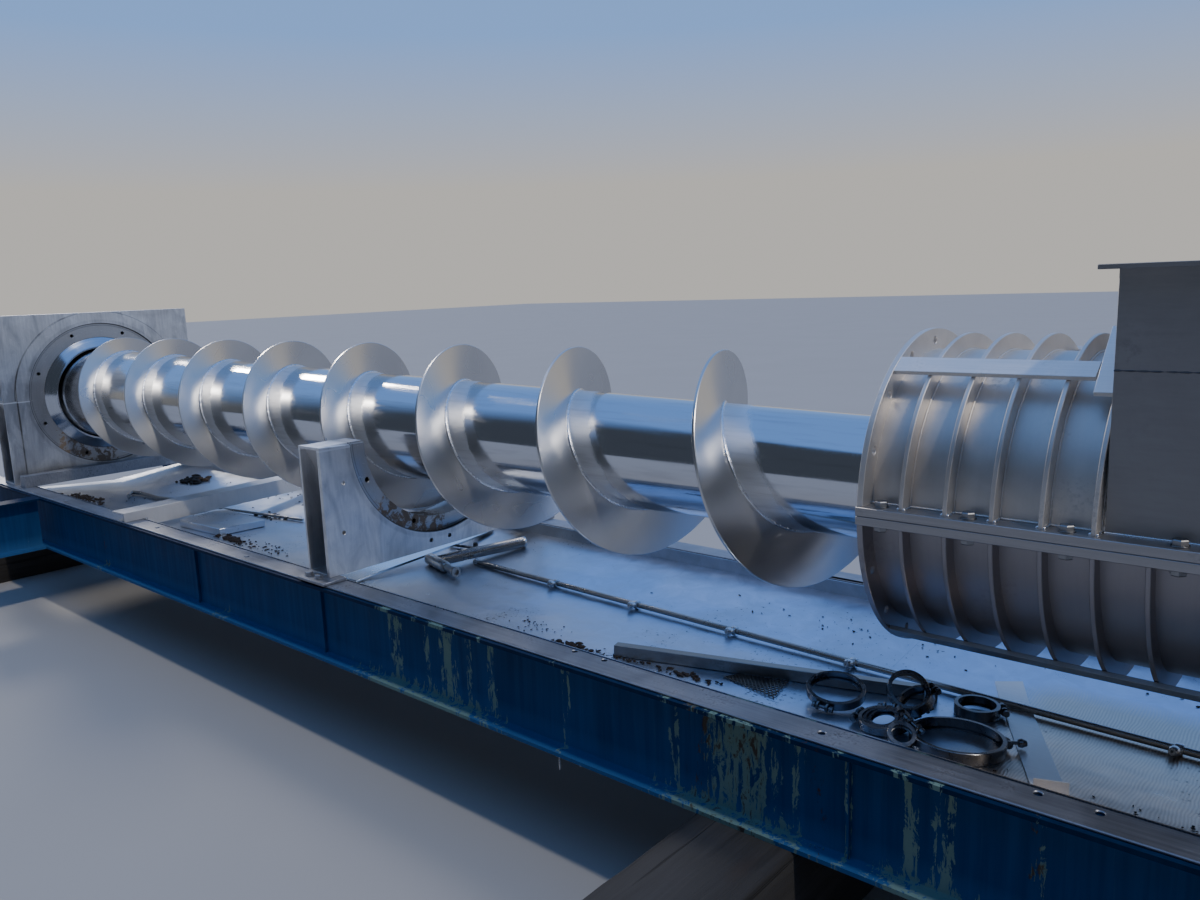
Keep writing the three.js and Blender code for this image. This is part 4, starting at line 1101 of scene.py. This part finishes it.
def band(place, outer, height, steps):
    """A clamp's channel-section band."""
    lip, wall = outer - 9, outer - 4
    profile = [
        (lip, 0), (outer - 1, 0), (outer, 1.2), (outer, height - 1.2), (outer - 1, height), (lip, height),
        (lip, height - 3), (wall, height - 5), (wall, 5), (lip, 3),
    ]
    rows = []
    for a in turns_of(steps):
        rows.append([place @ Vector((r * cos(a), r * sin(a), h)) for r, h in profile])
    made = bmesh.new()
    add_sweep(made, rows, closed=True)
    return made


def add_lug(shape, place, start, end, profile, steps):
    """Turns a profile about the line between two points that are given in a clamp's own place."""
    add_spun(shape, place @ Vector(start), place @ Vector(end), profile, steps)


def add_crumbs(shape, middle, spread, count, size, flat):
    """Scatters small irregular lumps on the tray."""
    for _ in range(count):
        x = middle[0] + spread[0] * random.gauss(0, 0.45)
        y = max(-436, min(436, middle[1] + spread[1] * random.gauss(0, 0.45)))
        r = size * random.uniform(0.35, 1.0)
        turn = Matrix.Rotation(random.uniform(0, 6.28), 4, "Z")
        stretch = Matrix.Diagonal((r * random.uniform(0.8, 1.9), r * random.uniform(0.5, 1.0), r * flat, 1))
        lump = bmesh.new()
        bmesh.ops.create_icosphere(lump, subdivisions=1, radius=1)
        for v in lump.verts:
            v.co *= 1 + 0.35 * noise.noise(v.co * 1.7 + Vector((x, y, 0)))
        place = Matrix.Translation(at(x, y, 0)) @ Matrix.Scale(0.001, 4) @ turn @ stretch
        bmesh.ops.transform(lump, matrix=place, verts=lump.verts)
        settle(lump, -0.15 * r)
        absorb(shape, lump)


# Wash pipe with its nozzles
pipe_left = at(WASH_LEFT_X, 85, -503.2)
pipe_right = at(WASH_RIGHT_X, -37, -501.5)
profile = [(0, 6), (0, 7.9), (0.0003, 8.5), (0.9997, 8.5), (1, 7.9), (1, 6), (0.99, 5.8), (0.01, 5.8)]
add_spun(shape, pipe_left, pipe_right, profile, 22)
piece("wash_pipe_round", shape, "pipe", "wash_pipe")
along = (pipe_right - pipe_left).normalized()
out = Vector((-0.25, -0.94, 0.16)).normalized()
collar = [(0, 8.7), (0, 12), (0.1, 13), (0.9, 13), (1, 12), (1, 8.7)]
stub = [(0, 0.2), (0, 8), (0.3, 8), (0.35, 11), (0.8, 11), (1, 8), (1, 3), (0.7, 0.2)]
cap = [(0, 0.2), (0, 9), (0.2, 12), (0.5, 12.4), (0.75, 10.5), (1, 9.5), (1, 8.7), (0.6, 0.2)]
add_spun(shape, pipe_left - along * 0.014, pipe_left + along * 0.012, cap, 18)
for x in NOZZLES_X:
    middle = pipe_left.lerp(pipe_right, (x - WASH_LEFT_X) / (WASH_RIGHT_X - WASH_LEFT_X))
    add_spun(shape, middle - along * 0.008, middle + along * 0.008, collar, 18)
    add_spun(shape, middle + out * 0.011, middle + out * 0.033, stub, 12)
piece("wash_pipe_nozzles", shape, "nozzle", sharp=50)

# Loose bars, plate and panel keep the solids' shapes
copied("square_bar", "darkbar", 1.6)
copied("flat_plate", "flatbar", 0)
copied("crossing_bar", "bright", 1.2)
copied("loose_panel", "sheet", 2.0)

# Tee-shaped pipe with a ribbed stub
head_left, head_right, stub_end = at(-1874, -14, -490.9), at(-1718, -59, -487.7), at(-1640, -81.5, -486.1)
run_start, run_end = at(-1821, -29, -489.9), at(-1688, 306, -471.2)
head = [(0, 0.2), (0, 17), (0.03, 20.5), (0.08, 21), (0.9, 21), (0.97, 19), (1, 15), (1, 0.2)]
ribbed = [(0, 0.2), (0, 13)]
for k in range(5):
    ribbed += [(0.08 + 0.13 * k, 14), (0.12 + 0.13 * k, 12.2), (0.17 + 0.13 * k, 12.2)]
ribbed += [(0.80, 13.5), (0.82, 18), (0.98, 18), (1, 17), (1, 10), (0.86, 9), (0.86, 0.2)]
run = [(0, 0.2), (0, 19), (0.02, 20.5), (0.962, 20.5), (0.964, 21), (0.995, 21), (1, 20), (1, 17)]
run += [(0.95, 16), (0.95, 0.2)]
add_spun(shape, head_left, head_right, head, 32)
add_spun(shape, head_right, stub_end, ribbed, 26)
add_spun(shape, run_start, run_end, run, 36)
piece("tee_pipe_fitting", shape, "pipe", "tee_pipe")

# Big clamp ring with its bolt and ears
big = band(lying(190, -278), 97, 26, 96)
place = lying(190, -278) @ Matrix.Rotation(0.61, 4, "Z")
bolt = [(0, 0.2), (0, 8), (0.25, 8), (0.27, 3.5), (0.62, 3.5), (0.64, 8), (0.8, 9.5), (1, 6), (1, 0.2)]
add_lug(big, place, (95, 0, 14), (140, 0, 14), bolt, 14)
for y in (-9, 9):
    add_lug(big, place, (101, y - 3, 13), (101, y + 3, 13), [(0, 0.2), (0, 9), (1, 9), (1, 0.2)], 12)
settle(big)
piece("clamp_ring_big", big, "clamp", "clamp_ring", sharp=30)

# Heap of small ones: place, turn, tilt, outer radius, height and the bolt's angle
ear = [(0, 0.2), (0, 9), (0.15, 10), (0.85, 10), (1, 9), (1, 0.2)]
bolt = [(0, 0.2), (0, 7.5), (0.14, 7.5), (0.15, 4), (0.82, 4), (0.83, 7), (0.99, 7), (1, 0.2)]
for x, y, turn, tilt, outer, height, angle in (
    (-116, -222, 24, 14, 68, 20, 250), (160, -75, 10, 3, 50, 24, 20), (36, -290, -20, 9, 56, 18, 200),
    (34, -288, -20, 14, 45, 15, 120), (33, -286, -20, 19, 35, 13, 60), (34, -168, 35, 52, 47, 20, 300),
    (60, -172, -40, 34, 44, 22, 90), (100, -352, 30, 38, 30, 16, 45),
):
    made = band(lying(x, y, turn, tilt), outer, height, 72)
    place = lying(x, y, turn, tilt) @ Matrix.Rotation(radians(angle), 4, "Z")
    for t in (-11, 11):
        add_lug(made, place, (outer + 7, t - 3, height / 2), (outer + 7, t + 3, height / 2), ear, 12)
    add_lug(made, place, (outer + 8, -24, height / 2), (outer + 8, 26, height / 2), bolt, 10)
    settle(made)
    absorb(shape, made)
piece("clamp_rings_small", shape, "clamp", sharp=30)

# Rod, bent hose end and a ring fitting in the trays
add_rod(shape, above_tray(-3478, -5, 6.4), above_tray(-2892, 88, 6.4), 6, 16)
bend = [(-4102, -167), (-4160, -138), (-4193, -107), (-4150, -88), (-4060, -86), (-3938, -91)]
bend += [(-3840, -60), (-3743, -22)]
add_tube(shape, [above_tray(x, y, 10.5) for x, y in bend], 10, 14)
piece("loose_rod_and_hose", shape, "pipe")
profile = [(0, 6), (0, 12), (0.3, 13), (0.7, 13), (1, 12), (1, 6)]
add_spun(shape, above_tray(-1862, 196, 13), above_tray(-1850, 206, 13), profile, 20)
add_rod(shape, above_tray(-1990, 170, 6), above_tray(-1858, 190, 8), 5, 12)
piece("ring_fitting", shape, "clamp")

# Thin wire bracket under the near beam
wire = [(-742, -520, -699), (-742, -520, -742), (-742, -522, -746), (-742, -522, -702)]
wire += [(-690, -522, -703), (-666, -522, -712)]
add_tube(shape, [at(*point) for point in wire], 1.6, 8)
piece("wire_bracket", shape, "nozzle")

# Scrap of expanded mesh
mesh_rows, mesh_cells = 10, 13
lower = Vector((-400, -268, 0)), Vector((-234, -304, 0))
upper = Vector((-385, -224, 0)), Vector((-262, -184, 0))
for row in range(mesh_rows + 1):
    points = []
    for k in range(2 * mesh_cells + 1):
        u = k / (2 * mesh_cells)
        v = (row + (0.5 if (k + row) % 2 else 0.0)) / (mesh_rows + 0.5)
        spot = lower[0].lerp(lower[1], u).lerp(upper[0].lerp(upper[1], u), v)
        rise = 2 + 7 * max(0.0, u - 0.55) * v + 3 * noise.noise(spot / 60)
        points.append(above_tray(spot.x, spot.y, max(1.2, rise)))
    add_tube(shape, points, 1.9, 4)
piece("expanded_mesh", shape, "mesh", sharp=60)

# Dried pulp and dirt: middle, spread, how many, size and how flat
random.seed(11)
for middle, spread, count, size, flat in (
    ((-860, -352), (60, 26), 26, 11, 0.5), ((-640, -330), (170, 16), 40, 6, 0.45),
    ((-470, -318), (90, 18), 30, 7, 0.45), ((-940, -405), (260, 14), 46, 5, 0.4),
    ((-520, -410), (420, 14), 60, 5, 0.4), ((-1050, -290), (150, 70), 40, 4, 0.4),
    ((-3700, -120), (330, 150), 90, 7, 0.4), ((-3120, 60), (200, 60), 40, 7, 0.4),
    ((-2600, -300), (300, 60), 60, 6, 0.4), ((-2800, -300), (110, 26), 70, 12, 0.5),
    ((-4240, -330), (230, 60), 100, 12, 0.5), ((620, -360), (420, 50), 50, 4, 0.4),
    ((-30, 250), (900, 120), 60, 4, 0.4), ((-3450, 300), (700, 80), 60, 6, 0.4),
):
    add_crumbs(shape, middle, spread, count, size, flat)
piece("tray_dirt", shape, "dirt", sharp=80)
add_crumbs(shape, (-4230, 235), (95, 70), 90, 16, 0.6)
piece("pulp_heap", shape, "pulp", sharp=80)

# Floor
floor = bpy.data.meshes.new("floor")
corners = [(x * FLOOR_REACH, y * FLOOR_REACH, 0) for x, y in ((-1, -1), (1, -1), (1, 1), (-1, 1))]
floor.from_pydata(corners, [], [(0, 1, 2, 3)])
ground = placed("floor", floor)
p = Paint("pale_floor")
color = p.mix(p.noise(0.8, 3), (0.40, 0.378, 0.35), (0.44, 0.418, 0.39))
floor.materials.append(p.finish(color, 0.9, 0.0))

# Sky: a ramp over height, darkened on the shaded side
world = bpy.data.worlds.new("studio")
bpy.context.scene.world = world
world.use_nodes = True
tree = world.node_tree
way = wired(tree, "TexCoord", {}).outputs["Generated"]
height = wired(tree, "SeparateXYZ", {0: way}).outputs[2]
ramp = wired(tree, "ValToRGB", {0: height})
band_colors = ramp.color_ramp.elements
band_colors[0].color = (*SKY_LOW, 1)
band_colors[1].color = (*SKY_HIGH, 1)
for position, color in ((0.10, SKY_LOW), (0.24, SKY_MIDDLE), (0.65, SKY_HIGH)):
    band_colors.new(position).color = (*color, 1)
front = wired(tree, "VectorMath", {0: way, 1: SHADE_SIDE}, operation="DOT_PRODUCT").outputs["Value"]
facing = wired(tree, "MapRange", {0: front, 1: 0.12, 2: 0.38}, clamp=True).outputs[0]
under = wired(tree, "MapRange", {0: height, 1: 0.72, 2: 0.76, 3: 1.0, 4: 0.0}, clamp=True).outputs[0]
shade = wired(tree, "Math", {0: facing, 1: under}, operation="MULTIPLY").outputs[0]
mixed = wired(tree, "Mix", {0: shade, 6: ramp.outputs[0], 7: SHADE_COLOR}, data_type="RGBA").outputs[2]
background = tree.nodes["Background"]
plug(tree, background.inputs["Color"], mixed)
background.inputs["Strength"].default_value = 1.0


def soft_sun(name, toward, strength, angle, color):
    """A broad, even light from far away. toward points from the machine to the light."""
    light = bpy.data.lights.new(name, "SUN")
    light.energy = strength
    light.angle = radians(angle)
    light.color = color
    made = placed(name, light)
    made.location = Vector(toward) * 8
    made.rotation_mode = "QUATERNION"
    made.rotation_quaternion = (-Vector(toward)).to_track_quat("-Z", "Y")


soft_sun("key", (-0.84, 0.22, 0.50), 1.0, 9, (1.0, 0.93, 0.83))
soft_sun("right", (0.60, -0.05, 0.80), 1.1, 3, (1.0, 0.95, 0.87))
